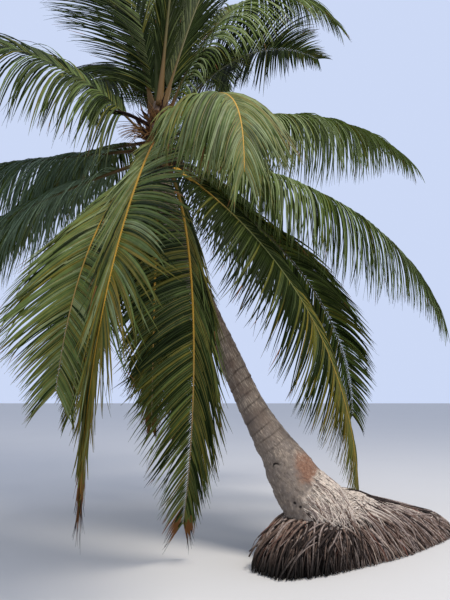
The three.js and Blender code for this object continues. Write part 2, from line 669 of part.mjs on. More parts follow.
function ridgeAt(along) {
  const rows = ridgeStations;
  const next = rows.findIndex((row) => row.along >= along);
  if (next <= 0) return next === 0 ? rows[0] : rows[rows.length - 1];
  const share = (along - rows[next - 1].along) / (rows[next].along - rows[next - 1].along);
  return {
    height: mix(rows[next - 1].height, rows[next].height, share),
    width: mix(rows[next - 1].width, rows[next].width, share),
    skirt: mix(rows[next - 1].skirt, rows[next].skirt, share),
  };
}

// Fibrous bole: a rounded ridge, flat underneath
function boleSolid(extra) {
  const rows = ridgeStations.filter((row) => row.along >= BOLE_START);
  return loft(rows.map((row, r) => {
    const end = r === rows.length - 1 ? extra : 0;
    const ring = [];
    for (let i = 0; i <= RIDGE_ARC_STEPS; i += 1) {
      const turn = (i / RIDGE_ARC_STEPS) * Math.PI;
      const lump = 1 + BOLE_LUMP * Math.sin(5 * turn + 3 * r);
      const across = Math.cos(turn) * (row.width * lump + extra);
      const height = Math.sin(turn) ** BOLE_ROUNDNESS * (row.height * lump + extra);
      ring.push(ridgePoint(row.along + end, across, i === 0 || i === RIDGE_ARC_STEPS ? 0 : height));
    }
    return ring;
  }));
}

// The point on the ridge's own line that a root near a foot point grows from
function innerAlong(foot) {
  return Math.min(Math.max(foot.along, RIDGE_CORE_START), RIDGE_CORE_END);
}

// Where the skirt meets the ground, once round the ridge
function skirtFoot(share) {
  const turn = share * 2 * Math.PI;
  const middle = (SKIRT_START + SKIRT_END) / 2;
  const reach = (SKIRT_END - SKIRT_START) / 2;
  const round = (value) => Math.sign(value) * Math.abs(value) ** SKIRT_ROUNDNESS;
  const along = middle + reach * round(Math.cos(turn));
  const narrow = THREE.MathUtils.smoothstep(along, SKIRT_NARROW_START, SKIRT_END);
  const width = mix(SKIRT_WIDTH_LOW, SKIRT_WIDTH_END, narrow);
  return { along, across: width * round(Math.sin(turn)) };
}

function skirtSolid() {
  const random = seededRandom(CLUMP_SEED);
  const rings = skirtProfile.map(() => []);
  for (let i = 0; i < SKIRT_CLUMPS; i += 1) {
    const foot = skirtFoot(i / SKIRT_CLUMPS);
    const inner = innerAlong(foot);
    const reach = Math.hypot(foot.across, foot.along - inner);
    const stray = (i % 2 === 0 ? 0.5 : -0.5) * CLUMP_DEPTH + (random() - 0.5) * CLUMP_STRAY;
    const top = ridgeAt(inner).skirt * (0.94 + 0.12 * random());
    rings.forEach((ring, level) => {
      const [out, up] = skirtProfile[level];
      const share = out * (1 + stray / reach);
      ring.push(ridgePoint(mix(inner, foot.along, share), foot.across * share, top * up));
    });
  }
  return loft(rings);
}

// Thin bent root that stands out of the skirt
function strayRootSolid(random) {
  const foot = skirtFoot(random());
  const inner = innerAlong(foot);
  const reach = Math.hypot(foot.across, foot.along - inner);
  const top = ridgeAt(inner).skirt;
  const out = 1 + STRAY_ROOT_REACH * (0.3 + 0.7 * random()) / reach;
  const drift = (random() - 0.5) * STRAY_ROOT_DRIFT;
  const stops = [[0.7, 0.9], [1.01, 0.7], [out, 0]];
  return loft(stops.map(([share, up], i) => {
    const centre = ridgePoint(mix(inner, foot.along, share) + drift * up, foot.across * share, 0);
    const radius = STRAY_ROOT_RADIUS * (1 - 0.22 * i);
    return Array.from({ length: 4 }, (_, k) => {
      const turn = (k / 4) * 2 * Math.PI;
      return centre.clone()
        .add(new THREE.Vector3(Math.cos(turn) * radius, Math.sin(turn) * radius, top * up));
    });
  }));
}

// Box with its faces square to the ridge, used to part the skirt
function ridgeBlock(alongLow, alongHigh, acrossLow, acrossHigh) {
  const corners = [
    [alongLow, acrossHigh], [alongHigh, acrossHigh], [alongHigh, acrossLow], [alongLow, acrossLow]];
  const ring = (height) => corners.map(([along, across]) => ridgePoint(along, across, height));
  return loft([ring(BLOCK_BOTTOM), ring(BLOCK_TOP)]);
}

// Trunk, bole and skirt
const trunk = trunkSolid(0);
const trunkRoom = trunkSolid(GAP);
addPiece('trunk', trunk, colours.trunk);

const bole = largestBody(boleSolid(0).subtract(trunkRoom));
addPiece('root_bole', bole, colours.bole);

const boleRoom = boleSolid(GAP);
const randomRoot = seededRandom(STRAY_ROOT_SEED);
let skirt = skirtSolid();
for (let i = 0; i < STRAY_ROOTS; i += 1) {
  skirt = skirt.add(strayRootSolid(randomRoot));
}
skirt = skirt.subtract(boleRoom).subtract(trunkRoom);
const middleStart = SKIRT_PART_LEFT + GAP;
const rightStart = SKIRT_PART_RIGHT + GAP;
const skirtParts = {
  root_skirt_left: ridgeBlock(-BLOCK_REACH, SKIRT_PART_LEFT, -BLOCK_WIDTH, BLOCK_WIDTH),
  root_skirt_front: ridgeBlock(middleStart, SKIRT_PART_RIGHT, 0, BLOCK_WIDTH),
  root_skirt_rear: ridgeBlock(middleStart, SKIRT_PART_RIGHT, -BLOCK_WIDTH, -GAP),
  root_skirt_right_front: ridgeBlock(rightStart, BLOCK_REACH, 0, BLOCK_WIDTH),
  root_skirt_right_rear: ridgeBlock(rightStart, BLOCK_REACH, -BLOCK_WIDTH, -GAP),
};
for (const [name, block] of Object.entries(skirtParts)) {
  addPiece(name, largestBody(skirt.intersect(block)), colours.roots);
}

// Crown: sleeve, spear and husks
const sleeve = largestBody(sleeveSolid(0).subtract(trunkRoom));
addPiece('crown_sleeve', sleeve, colours.sleeve);
const spear = spearSolid();
addPiece('spear_leaf', spear, colours.spear);
Object.entries({ trunk, bole, skirt, sleeve, spear }).forEach(([name, solid]) => addObstacle(solid, name));

// Stalks keep clear of the trunk, the sleeve, and each stalk above them in the table
const ribs = frondTable.map((frond) => ribStations(frond));
const crownRoom = trunkRoom.add(sleeveSolid(GAP));
const stalkRooms = ribs.map((stations) => ribRoom(stations.slice(0, STALK_ROOM_STATIONS), GAP));
ribs.forEach((stations, i) => addObstacle(ribRoom(stations, LEAFLET_SLACK), frondTable[i].name));

huskTable.forEach((husk) => {
  const cut = stalkRooms.reduce((rest, room) => rest.subtract(room), huskSolid(husk).subtract(crownRoom));
  const solid = largestBody(cut);
  addPiece(husk.name, solid, colours.husk);
  addObstacle(solid, husk.name);
});

frondTable.forEach((frond, i) => {
  frondHalves(frond, ribs[i]).forEach((half) => {
    const whole = frondSolid(frond, half.stations, half.first);
    const atStalk = () => stalkRooms.slice(0, i)
      .reduce((rest, room) => rest.subtract(room), whole.subtract(crownRoom));
    addPiece(half.name, half.first === 0 ? largestBody(atStalk()) : whole, colours.frond);
  });
});

export default palm;
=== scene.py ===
"""Coconut palm with a leaning trunk, a long mass of bare roots and a full crown of fronds.

Laid out as an add-on: each piece has its own operator, and its sizes and colours are properties.
Metres, in the frame of the packed model: +Z up, the origin at the foot of the trunk.
"""

import math
from collections import namedtuple

import bpy
import numpy as np
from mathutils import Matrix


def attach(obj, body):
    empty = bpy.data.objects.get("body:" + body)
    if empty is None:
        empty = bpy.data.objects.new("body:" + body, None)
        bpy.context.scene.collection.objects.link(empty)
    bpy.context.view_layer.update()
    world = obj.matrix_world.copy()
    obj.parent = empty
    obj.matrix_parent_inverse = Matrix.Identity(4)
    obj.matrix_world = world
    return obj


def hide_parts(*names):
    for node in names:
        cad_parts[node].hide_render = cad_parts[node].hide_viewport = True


bl_info = {
    "name": "Coconut palm",
    "version": (1, 0, 0),
    "blender": (4, 5, 0),
    "location": "View3D > Sidebar > Palm",
    "description": "Builds the looks of a coconut palm round its packed model",
    "category": "Object",
}

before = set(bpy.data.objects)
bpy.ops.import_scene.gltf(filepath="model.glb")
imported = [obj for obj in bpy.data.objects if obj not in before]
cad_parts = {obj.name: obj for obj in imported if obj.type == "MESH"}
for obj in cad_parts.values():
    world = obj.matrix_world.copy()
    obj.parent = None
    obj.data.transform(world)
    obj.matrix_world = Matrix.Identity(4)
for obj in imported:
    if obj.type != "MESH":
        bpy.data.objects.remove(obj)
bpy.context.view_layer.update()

BODY = "root"
UP = np.array([0.0, 0.0, 1.0])

# Trunk: height, x, y and radius of its centre line, from the flat cut to the growing tip
TRUNK_STATIONS = (
    (0, -0.05, 0.01, 0.345),
    (0.2, -0.06, 0.015, 0.352),
    (0.38, -0.085, 0.025, 0.352),
    (0.5, -0.125, 0.04, 0.345),
    (0.64, -0.2, 0.065, 0.318),
    (0.78, -0.305, 0.1, 0.262),
    (0.965, -0.418, 0.148, 0.21),
    (1.24, -0.6, 0.205, 0.158),
    (1.56, -0.782, 0.29, 0.133),
    (1.98, -0.975, 0.392, 0.126),
    (2.5, -1.215, 0.51, 0.119),
    (3.1, -1.45, 0.64, 0.116),
    (3.7, -1.665, 0.765, 0.114),
    (4.2, -1.815, 0.852, 0.112),
    (4.6, -1.838, 0.868, 0.098),
    (5.15, -1.856, 0.88, 0.046),
)
# Heights between which its sections turn from level to square with the lean
TRUNK_SQUARE = (0.3, 1.1)
TRUNK_SIDES = 144
TRUNK_RING_STEP = 0.0095
# Heights over which the foot's bark gives way to the upper bark
BARK_CHANGE = (0.6, 1.5)
# Lumps of the bark: seed, cells round and along, and height at the foot and higher up
BARK_RIPPLES = (
    (14, 90, 160, 0.0022, 0.0022),
    (15, 40, 420, 0.0012, 0.0012),
    (16, 10, 50, 0.014, 0.002),
    (17, 26, 150, 0.006, 0.001),
)
# Places on the trunk: the worn patch and its reach, each pit with its radius, and an old wound's rim
WORN_PLACE = (-0.2, -0.07, 0.89)
WORN_REACH = (0.15, 0.26, 0.2)
TRUNK_PITS = (
    (-0.36, -0.215, 0.57, 0.021),
    (-0.31, -0.25, 0.54, 0.018),
)
PIT_DEPTH = 0.012
WOUND_PLACE = (-0.52, -0.05, 0.872)
WOUND_RIM = 0.042
# Degrees round from the ridge that pale root fibre covers of the trunk, by height
TRUNK_MAT = ((0.3, 0.5, 0.6, 0.69, 0.8, 0.85), (105, 98, 90, 72, 38, 0))

# Crown: the lower end of its axis and the way it points
CROWN_LOW = np.array([-1.82, 0.86, 4.22])
CROWN_AXIS = np.array([-0.04, 0.02, 1.0]) / np.linalg.norm([-0.04, 0.02, 1.0])
# Fibre sleeve: heights of its ends above the axis's foot, and its radii there
SLEEVE_SPAN = (0.06, 0.78)
SLEEVE_RADII = (0.165, 0.1)
SLEEVE_RINGS = 70
SLEEVE_SIDES = 96
FIBRE_STATIONS = 9
FIBRE_SIDES = 4
FLAP_STATIONS = 7
# Spear of young leaf on the trunk's tip: drift is how far its point stands from over its foot
SPEAR_LENGTH = 2.3
SPEAR_RADIUS = 0.04
SPEAR_DRIFT = (-0.06, 0.03)
SPEAR_RINGS = 70
SPEAR_SIDES = 30
SPEAR_PLEAT = 0.2
SPEAR_TWIST = 0.7

# Dry sheaths of old flower stalks: the reach in is the part from the crown's axis to its sleeve, and the
# droop is how many degrees one bends on its way
HUSK_LENGTH = 0.62
HUSK_WIDTH = 0.074
HUSK_DEPTH = 0.034
HUSK_REACH_IN = 0.165
HUSK_DROOP = 50
HUSK_STEPS = 33
HUSK_SIDES = 24
HUSK_RIDGES = 12
TWIGS = 22
TWIG_STATIONS = 9
TWIG_SIDES = 5
Husk = namedtuple("Husk", "name azimuth seat rise")
HUSKS = (
    Husk("husk_left", 186, 0.56, 38),
    Husk("husk_left_front", 222, 0.5, 30),
    Husk("husk_front", -88, 0.44, 10),
)

# Frond ribs, by the rule of the solids: how far from the crown's axis they start and how much nearer for
# each metre up it, and the share that is stalk. Widths are at the foot, past the stalk and at the tip.
STALK_START = 0.15
STALK_START_TAPER = 0.11
STALK_SHARE = 0.14
RIB_WIDTHS = (0.11, 0.042, 0.007)
RIB_HEIGHTS = (0.052, 0.007)
RIB_STEPS = 64
RIB_SIDES = 12
# Leaflets: degrees from the rib at its stalk and its tip, the most of those, and degrees up from the blade
LEAFLET_ANGLES = (66, 20)
LEAFLET_ANGLE_MOST = 84
LEAFLET_RAISE = 22
# Where they start on the rib, how far on they have their full length, and their share of it at the tip
LEAFLET_START = 0.09
LEAFLET_FULL = (0.28, 0.5)
LEAFLET_SHORT = 0.34
# A leaflet's hang grows from the first number at its root by the second at its tip
LEAFLET_HANG = (0.06, 1.34)
LEAFLET_HANG_LEAST = 0.04
# Near the tip of the rib, past this share, the hang eases to this share of itself
LEAFLET_EASE_START = 0.6
LEAFLET_HANG_TIP = 0.45
# How far clinging leaflets close up to the rib, and the lowest height that one reaches
LEAFLET_CLING = 0.62
LOWEST_LEAFLET = 0.05
LEAFLET_STEPS = 8
# How far leaflets stray from even places, and how far one side's stand before the other's
LEAFLET_JITTER = 0.12
LEAFLET_STAGGER = 0.2
# Shares of the rib's width and height at which a leaflet leaves it
LEAFLET_SEAT = (0.36, 0.2)
MIDRIB_HALF_WIDTH = 0.0022
MIDRIB_RAISE = 0.0012
# How far a gust moves a row of leaflets, and how far each strays by itself: angle and rise in degrees, hang
# as a share of itself, and for gusts the twist in degrees
GUST_KNOTS = 17
GUSTS = (2, 3, 0.14, 16)
LEAFLET_STRAYS = (1.2, 2, 0.07)

# Fronds: heading and rise at the stalk, bend and sweep on the way to the tip and how late they come,
# height of the seat, length, hang of the leaflets on the first and the second side, roll of the blade,
# share of the leaflet length, the greens at the stalk and at the tip, and the rib's colour.
# Then how far the wind blows hanging leaflets towards -X, how widely they spread at the stalk and at
# the tip on the first and the second side, where leaflets start to cling to the rib and to be dry, and
# how many there are and how long they are at the stalk.
Frond = namedtuple(
    "Frond", "name azimuth rise bend sweep ease seat length hang roll leaf greens tip_greens rib"
    " blow spread spread_back cling dry many first",
    defaults=(0.05, (1, 1), (1, 1), 1.1, 1.1, 1, 0.5))
FRONDS = (
    Frond("front_crest", -66, -6.4, 63, -25, 2, 0.5, 3.7, (2.4, 1.4), 0, 1.1, "pale", "pale", "orange",
          spread=(0.8, 1)),
    Frond("left_arch", 197, 45, 123, 0, 1.4, 0.42, 4.4, (0.5, 2.6), 25, 1.2, "deep", "deep", "green",
          many=1.5, first=0.95),
    Frond("left_upright", 133, 74, 55, 0, 1.3, 0.74, 4.3, (0.3, 0.35), 40, 1, "dark", "dark", "brown",
          blow=0, spread=(0.45, 0.6), many=1.25),
    Frond("centre_upright", -58, 80, 34, 0, 2.4, 0.86, 4.2, (0.3, 0.3), 0, 1, "dark", "dark", "brown",
          blow=0, spread=(0.22, 0.4), spread_back=(0.22, 0.4)),
    Frond("right_upright", 42, 73, 36, 0, 2.6, 0.81, 4.2, (0.3, 0.3), -45, 1, "dark", "dark", "brown",
          blow=0, spread=(0.35, 0.5), spread_back=(0.35, 0.5)),
    Frond("right_crest", 30, 70, 96, 8, 2, 0.64, 4.4, (1.6, 1.6), -20, 1, "pale", "fresh", "grey",
          blow=0.1),
    Frond("right_fan", 47, 57, 50, 0, 1.3, 0.56, 4.4, (0.5, 0.5), 30, 0.95, "dark", "deep", "brown",
          blow=0, spread=(1, 1.3), spread_back=(1, 1.3)),
    Frond("right_arch", 24, 26, 59, 2, 1.8, 0.43, 4.1, (2.4, 2.4), 0, 1, "bright", "bright", "green",
          blow=0.2, many=1.15),
    Frond("right_sweep", -4, -13, 58, 9, 1.9, 0.32, 4.0, (2.6, 2.6), 0, 1, "pale", "bright", "green",
          blow=0.3, many=1.2),
    Frond("right_low", -14, -38, 51, -2, 1.3, 0.12, 4.4, (1.2, 1.2), -28, 1, "dark", "gold", "olive",
          blow=0.6, spread=(1.35, 1.35), spread_back=(1.1, 0.4), many=1.35),
    Frond("right_low_rear", 26, -25, 67, 0, 1.7, 0.2, 4.4, (0.8, 0.5), 20, 0.85, "deep", "deep", "grey",
          blow=0.1, spread=(0.1, 2), spread_back=(0.6, 1.7)),
    Frond("front_hanging", -66, -27, 86, -5, 0.7, 0.09, 4.4, (0.35, 0.9), 0, 0.9, "deep", "deep", "gold",
          spread=(1.2, 2), spread_back=(0, 1.1), dry=0.94),
    Frond("front_left_long", -85, -20, 69, -28, 0.8, 0.4, 4.7, (0.3, 0.3), -15, 1, "fresh", "gold",
          "orange", blow=0, spread=(0.4, 0), spread_back=(1.4, 1.1), cling=0.72, dry=0.91),
    Frond("front_left", -116, -41, 35, 21, 1.2, 0.2, 3.4, (0.4, 0.4), 0, 1.05, "fresh", "fresh", "gold",
          blow=0, spread=(0, 1.9), spread_back=(0.9, 1.9)),
    Frond("left_level", 165, 2, 16, 0, 1.6, 0.32, 4.4, (2.6, 2.6), 0, 1.15, "shade", "shade", "grey",
          many=1.2),
    Frond("left_low", 172, -16, 35, 0, 1.5, 0.18, 4.3, (2, 2), 0, 1.15, "shade", "deep", "grey",
          many=1.25),
    Frond("rear_upright_middle", 100, 74, 52, 0, 1.8, 0.78, 4.1, (0.4, 0.4), 0, 1, "deep", "fresh", "grey",
          blow=0),
    Frond("rear_upright_left", 115, 55, 80, 0, 1.6, 0.64, 4.3, (0.9, 0.9), 0, 1, "deep", "fresh", "green"),
    Frond("rear_upright_right", 76, 62, 80, 0, 1.6, 0.7, 4.3, (0.8, 0.8), 0, 1, "deep", "fresh", "green"),
    Frond("rear_arch_right", 64, 30, 80, 0, 1.6, 0.5, 4.3, (2, 2), 0, 1, "fresh", "fresh", "green",
          blow=0.1),
    Frond("rear_arch_left", 138, 12, 72, 0, 1.6, 0.44, 4.2, (2.2, 2.2), 0, 1, "fresh", "fresh", "green"),
    Frond("rear_level", 102, 4, 75, 0, 1.5, 0.38, 4.3, (2, 2), 0, 1, "fresh", "fresh", "green"),
    Frond("rear_level_right", 58, 0, 62, 0, 1.5, 0.3, 4.2, (2, 2), 0, 1, "fresh", "olive", "green",
          blow=0.1),
    Frond("rear_low_left", 124, -30, 50, 0, 1.4, 0.24, 4.3, (0.9, 0.9), 0, 1, "fresh", "olive", "gold"),
    Frond("rear_low", 88, -36, 48, 0, 1.4, 0.16, 4.3, (0.9, 0.9), 0, 1, "olive", "gold", "gold", dry=0.95),
    Frond("rear_hanging", 98, -50, 30, 0, 1.2, 0.06, 3.6, (0.4, 0.4), 0, 0.85, "deep", "olive", "gold",
          dry=0.9),
)

# Leaf colours, all finishes of leaves, and how often a leaflet of each group of greens takes each colour
LEAF_COLOURS = ("mid", "deep", "blue", "olive", "gold", "pale", "dark")
LEAF_FINISHES = (*LEAF_COLOURS, "midrib", "midrib_gold", "rust", "dead")
GREENS = {
    "fresh": (0.44, 0.24, 0.0, 0.06, 0.0, 0.2, 0.06),
    # The next group paints fronds lighter, mostly in pale green, as painted light
    "bright": (0.12, 0.0, 0.0, 0.05, 0.0, 0.83, 0.0),
    # The next group gives the tops of fronds much of the painted sheen of pale green
    "pale": (0.44, 0.14, 0.0, 0.06, 0.0, 0.36, 0.0),
    "deep": (0.14, 0.48, 0.0, 0.12, 0.0, 0.0, 0.26),
    # The next group paints fronds as standing in shade, mostly in the dark green of painted shade
    "dark": (0.0, 0.14, 0.0, 0.04, 0.0, 0.0, 0.82),
    "shade": (0.05, 0.05, 0.82, 0.0, 0.0, 0.08, 0.0),
    "olive": (0.15, 0.27, 0.0, 0.45, 0.08, 0.0, 0.05),
    "gold": (0.0, 0.1, 0.0, 0.45, 0.45, 0.0, 0.0),
}

# Root mass: heading of its ridge, and along it the height and half width of the bole
RIDGE_AZIMUTH = 37
RIDGE_STATIONS = np.array((
    (-0.6, 0.23, 0.19),
    (-0.4, 0.395, 0.26),
    (-0.1, 0.56, 0.3),
    (0.18, 0.64, 0.305),
    (0.38, 0.6, 0.29),
    (0.62, 0.51, 0.265),
    (0.95, 0.425, 0.235),
    (1.35, 0.325, 0.2),
    (1.7, 0.225, 0.16),
    (1.88, 0.13, 0.11),
))
BOLE_START = -0.1
# Power of the sine that rounds the bole's section, and steps along and over its surface
BOLE_ROUNDNESS = 0.8
BOLE_STEPS = (260, 76)
# Short and long roots that lie on the bole and the trunk, and how far along the short ones go
BOLE_ROOT_STATIONS = 8
BOLE_ROOT_SIDES = 5
BOLE_ROOT_END = 1.86
LONG_ROOTS = 16
LONG_ROOT_STATIONS = 26
LONG_ROOT_SIDES = 6
# Skirt: the ends of the line that its roots lean away from, and its edge on the ground by its ends along
# the ridge, half widths, where it starts to narrow and the power that squares its corners
RIDGE_CORE = (-0.42, 1.7)
SKIRT_ENDS = (-0.86, 1.99)
SKIRT_WIDTHS = (0.385, 0.25)
SKIRT_NARROW_START = 0.5
SKIRT_ROUNDNESS = 0.62
SKIRT_EDGE_STEPS = 1441
# Where the skirt's left, middle and right nodes meet
SKIRT_PARTS = (-0.33, 0.85)
# Layers of hanging roots: share of them, and share of the skirt's width that they reach
SKIRT_LAYERS = ((0.36, 1.0), (0.34, 0.92), (0.3, 0.84))
ROOT_STATIONS = 10
ROOT_SIDES = 5
LOWEST_ROOT = 0.0005
# The dark heart of the skirt: a closed sheet inside the roots, painted as the shade there
CORE_SIDES = 280
CORE_RINGS = 26
CORE_SHARE = 0.8
# Where roots leave the trunk: its axis along and across the ridge, and its radius
TRUNK_FOOT = (-0.06, -0.085, 0.335)
# Kinds of root, and how much of two of them is pale flecks
ROOT_KINDS = ("pale", "grey", "brown", "red", "dark")
ROOT_FLECKS = {"grey": 0.5, "brown": 0.3}
# How often a root of the outermost layer is of each kind, and what the painted shade at the skirt's left end
# adds to that
ROOT_SHARES = np.array((0.08, 0.36, 0.34, 0.05, 0.17))
ROOT_SHARES_SHADE = np.array((-0.08, -0.12, 0.0, 0.0, 0.15))
# How much likelier each kind is in the layers behind, which paints shade there with darker roots
ROOT_SHARES_SHADE_BEHIND = (0.1, 0.4, 1.2, 1.0, 3.0)

# Camera, as the photograph was taken: place, degrees up, lens and sensor in millimetres, and how far it sees
CAMERA_PLACE = (-1.018, -6.12, 1.65)
CAMERA_PITCH = 8.34
CAMERA_LENS = 36
CAMERA_SENSOR = 36
CAMERA_REACH = 200
# What the lamps are turned to, and the colour of their light
LAMP_AIM = (-1.2, 0.8, 3.5)
LAMP_COLOUR = (1.0, 0.95, 0.88)


def mix(a, b, t):
    """The value a share t of the way from a to b."""
    return a + (b - a) * t


def smoothstep(value, low, high):
    """Rises smoothly from 0 at low to 1 at high."""
    t = np.clip((value - low) / (high - low), 0, 1)
    return t * t * (3 - 2 * t)


def unit(vectors):
    """The vectors at length 1."""
    return vectors / np.maximum(np.linalg.norm(vectors, axis=-1, keepdims=True), 1e-9)


def level_heading(turn):
    """Level directions at angles round from +X."""
    return np.stack([np.cos(turn), np.sin(turn), 0 * turn], axis=-1)


def left_of(heading):
    """Level directions a quarter turn to the left of level headings."""
    return np.stack([-heading[..., 1], heading[..., 0], 0 * heading[..., 0]], axis=-1)


def round_turns(sides):
    """Angles evenly round a circle."""
    return np.arange(sides) / sides * 2 * math.pi


def paint(red, green, blue):
    """A colour from 0 to 255 a channel, as a screen shows it, in the linear values Blender uses."""
    channels = [channel / 255 for channel in (red, green, blue)]
    return tuple(c / 12.92 if c <= 0.04045 else ((c + 0.055) / 1.055) ** 2.4 for c in channels)


def smooth_curve(rows, shares):
    """Values on a smooth curve through rows, at shares of the way from the first to the last."""
    rows = np.array(rows, float)
    padded = np.vstack([2 * rows[0] - rows[1], rows, 2 * rows[-1] - rows[-2]])
    place = np.clip(np.asarray(shares, float), 0, 1) * (len(rows) - 1)
    step = np.minimum(place.astype(int), len(rows) - 2)
    t = (place - step)[..., None]
    before, start, end, after = (padded[step + i] for i in range(4))
    leave = (end - before) / 2
    arrive = (after - start) / 2
    return (start + leave * t + (3 * (end - start) - 2 * leave - arrive) * t ** 2
            + (2 * (start - end) + leave + arrive) * t ** 3)


class Ripple:
    """Repeatable smooth noise from -1 to 1 on a grid that wraps round in its first direction."""

    def __init__(self, seed, around, along):
        self.grid = np.random.default_rng(seed).uniform(-1, 1, (around, along))

    def __call__(self, round_share, along_share):
        around, along = self.grid.shape
        x = (round_share % 1) * around
        y = np.clip(along_share, 0, 1) * (along - 1)
        left = np.minimum(x.astype(int), around - 1)
        low = np.minimum(y.astype(int), along - 2)
        across = smoothstep(x - left, 0, 1)
        up = smoothstep(y - low, 0, 1)
        right = (left + 1) % around
        lower = mix(self.grid[left, low], self.grid[right, low], across)
        upper = mix(self.grid[left, low + 1], self.grid[right, low + 1], across)
        return mix(lower, upper, up)


def link(name, data):
    """Puts an object that holds the data in the scene and returns it."""
    made = bpy.data.objects.new(name, data)
    bpy.context.scene.collection.objects.link(made)
    return made


class Collector:
    """Gathers the parts of one piece: points, faces, and a material and fields for each part."""

    def __init__(self):
        self.points = []
        self.faces = []
        self.picks = []
        self.fields = {}
        self.count = 0

    def add(self, points, faces, picks=0, **fields):
        """faces is a list of arrays, and picks a number or one array of numbers for each of them."""
        for i, group in enumerate(faces):
            pick = picks[i] if isinstance(picks, list) else np.full(len(group), picks)
            self.faces.append(group + self.count)
            self.picks.append(pick)
        for key, values in fields.items():
            self.fields.setdefault(key, []).append(values)
        self.points.append(points)
        self.count += len(points)

    def add_tubes(self, lines, radii, sides, chosen, **fields):
        """Adds tubes, with the number of a material for each."""
        points, faces = tubes(lines, radii, sides)
        self.add(points, faces, tube_picks(chosen, lines.shape[1], sides), **fields)

    def piece(self, name, materials, slot, replaced=()):
        """Makes the piece, seats it in the frame and returns it."""
        mesh = bpy.data.meshes.new(name)
        corners = np.concatenate([group.ravel() for group in self.faces]).astype(np.int32)
        sizes = np.concatenate([np.full(len(group), group.shape[1]) for group in self.faces])
        starts = np.concatenate([[0], np.cumsum(sizes)[:-1]]).astype(np.int32)
        mesh.vertices.add(self.count)
        points = np.concatenate(self.points)
        points[:, 2] = np.maximum(points[:, 2], 0)
        mesh.vertices.foreach_set("co", points.astype(np.float32).ravel())
        mesh.loops.add(len(corners))
        mesh.loops.foreach_set("vertex_index", corners)
        mesh.polygons.add(len(sizes))
        mesh.polygons.foreach_set("loop_start", starts)
        for material in materials:
            mesh.materials.append(material)
        mesh.polygons.foreach_set("material_index", np.concatenate(self.picks).astype(np.int32))
        mesh.polygons.foreach_set("use_smooth", np.ones(len(sizes), bool))
        for key, values in self.fields.items():
            values = np.concatenate(values).astype(np.float32)
            kind, item = ("FLOAT", "value") if values.ndim == 1 else ("FLOAT_VECTOR", "vector")
            mesh.attributes.new(key, kind, "POINT").data.foreach_set(item, values.ravel())
        mesh.update(calc_edges=True)
        mesh.validate()
        piece = link(name, mesh)
        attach(piece, BODY)
        if replaced:
            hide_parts(*replaced)
        return piece


def tubes(lines, radii, sides):
    """Closed round tubes along many lines at once. lines is tubes by stations by 3."""
    count, stations, _ = lines.shape
    forward = unit(np.gradient(lines, axis=1))
    heading = unit(lines[:, -1] - lines[:, 0])
    steep = np.abs(heading[:, 2:]) > 0.8
    helper = np.where(steep, [[1.0, 0.0, 0.0]], [[0.0, 0.0, 1.0]])[:, None, :]
    side = unit(np.cross(forward, helper))
    up = np.cross(side, forward)
    turn = round_turns(sides)[:, None]
    ring = side[..., None, :] * np.cos(turn) + up[..., None, :] * np.sin(turn)
    points = lines[..., None, :] + ring * radii[..., None, None]
    index = np.arange(count * stations * sides).reshape(count, stations, sides)
    after = np.roll(index, -1, axis=2)
    walls = np.stack([index[:, :-1], index[:, 1:], after[:, 1:], after[:, :-1]], axis=-1)
    ends = np.concatenate([index[:, 0], index[:, -1, ::-1]])
    return points.reshape(-1, 3), [walls.reshape(-1, 4), ends]


def tube_picks(chosen, stations, sides):
    """The material of each face of tubes(), from one for each tube."""
    return [np.repeat(chosen, (stations - 1) * sides), np.concatenate([chosen, chosen])]


def skin(rings, closed=True):
    """Faces over a grid of points, rings by points round, which joins up round where closed."""
    stations, sides = rings.shape[:2]
    index = np.arange(stations * sides).reshape(stations, sides)
    after = np.roll(index, -1, axis=1)
    last = sides if closed else sides - 1
    quads = np.stack([index[:-1], after[:-1], after[1:], index[1:]], axis=-1)[:, :last]
    return quads.reshape(-1, 4)


def closed_skin(rings, flip=False):
    """Walls and both ends over a grid of points. flip turns the faces of rings that run clockwise."""
    index = np.arange(rings.shape[0] * rings.shape[1]).reshape(rings.shape[:2])
    faces = [skin(rings), index[:1, ::-1], index[-1:]]
    return [group[:, ::-1] for group in faces] if flip else faces


def strip_faces(strips):
    """Faces of many strips at once: strips by stations by places across."""
    index = np.arange(strips.size // 3).reshape(strips.shape[:3])
    corners = [index[:, :-1, :-1], index[:, :-1, 1:], index[:, 1:, 1:], index[:, 1:, :-1]]
    return np.stack(corners, axis=-1).reshape(-1, 4)


class Flow:
    """A value in a material's nodes. Arithmetic on it adds Math nodes."""

    def __init__(self, recipe, socket):
        self.recipe = recipe
        self.socket = socket

    def math(self, operation, first, second):
        return self.recipe.node("ShaderNodeMath", {"operation": operation}, {0: first, 1: second})

    def __add__(self, other):
        return self.math("ADD", self, other)

    def __radd__(self, other):
        return self.math("ADD", other, self)

    def __sub__(self, other):
        return self.math("SUBTRACT", self, other)

    def __rsub__(self, other):
        return self.math("SUBTRACT", other, self)

    def __mul__(self, other):
        return self.math("MULTIPLY", self, other)

    def __rmul__(self, other):
        return self.math("MULTIPLY", other, self)

    def span(self, low, high):
        """0 where the value is low or under it, 1 where it is high or over it."""
        return self.recipe.node("ShaderNodeMapRange", {"interpolation_type": "SMOOTHSTEP"},
                                {0: self, 1: low, 2: high})


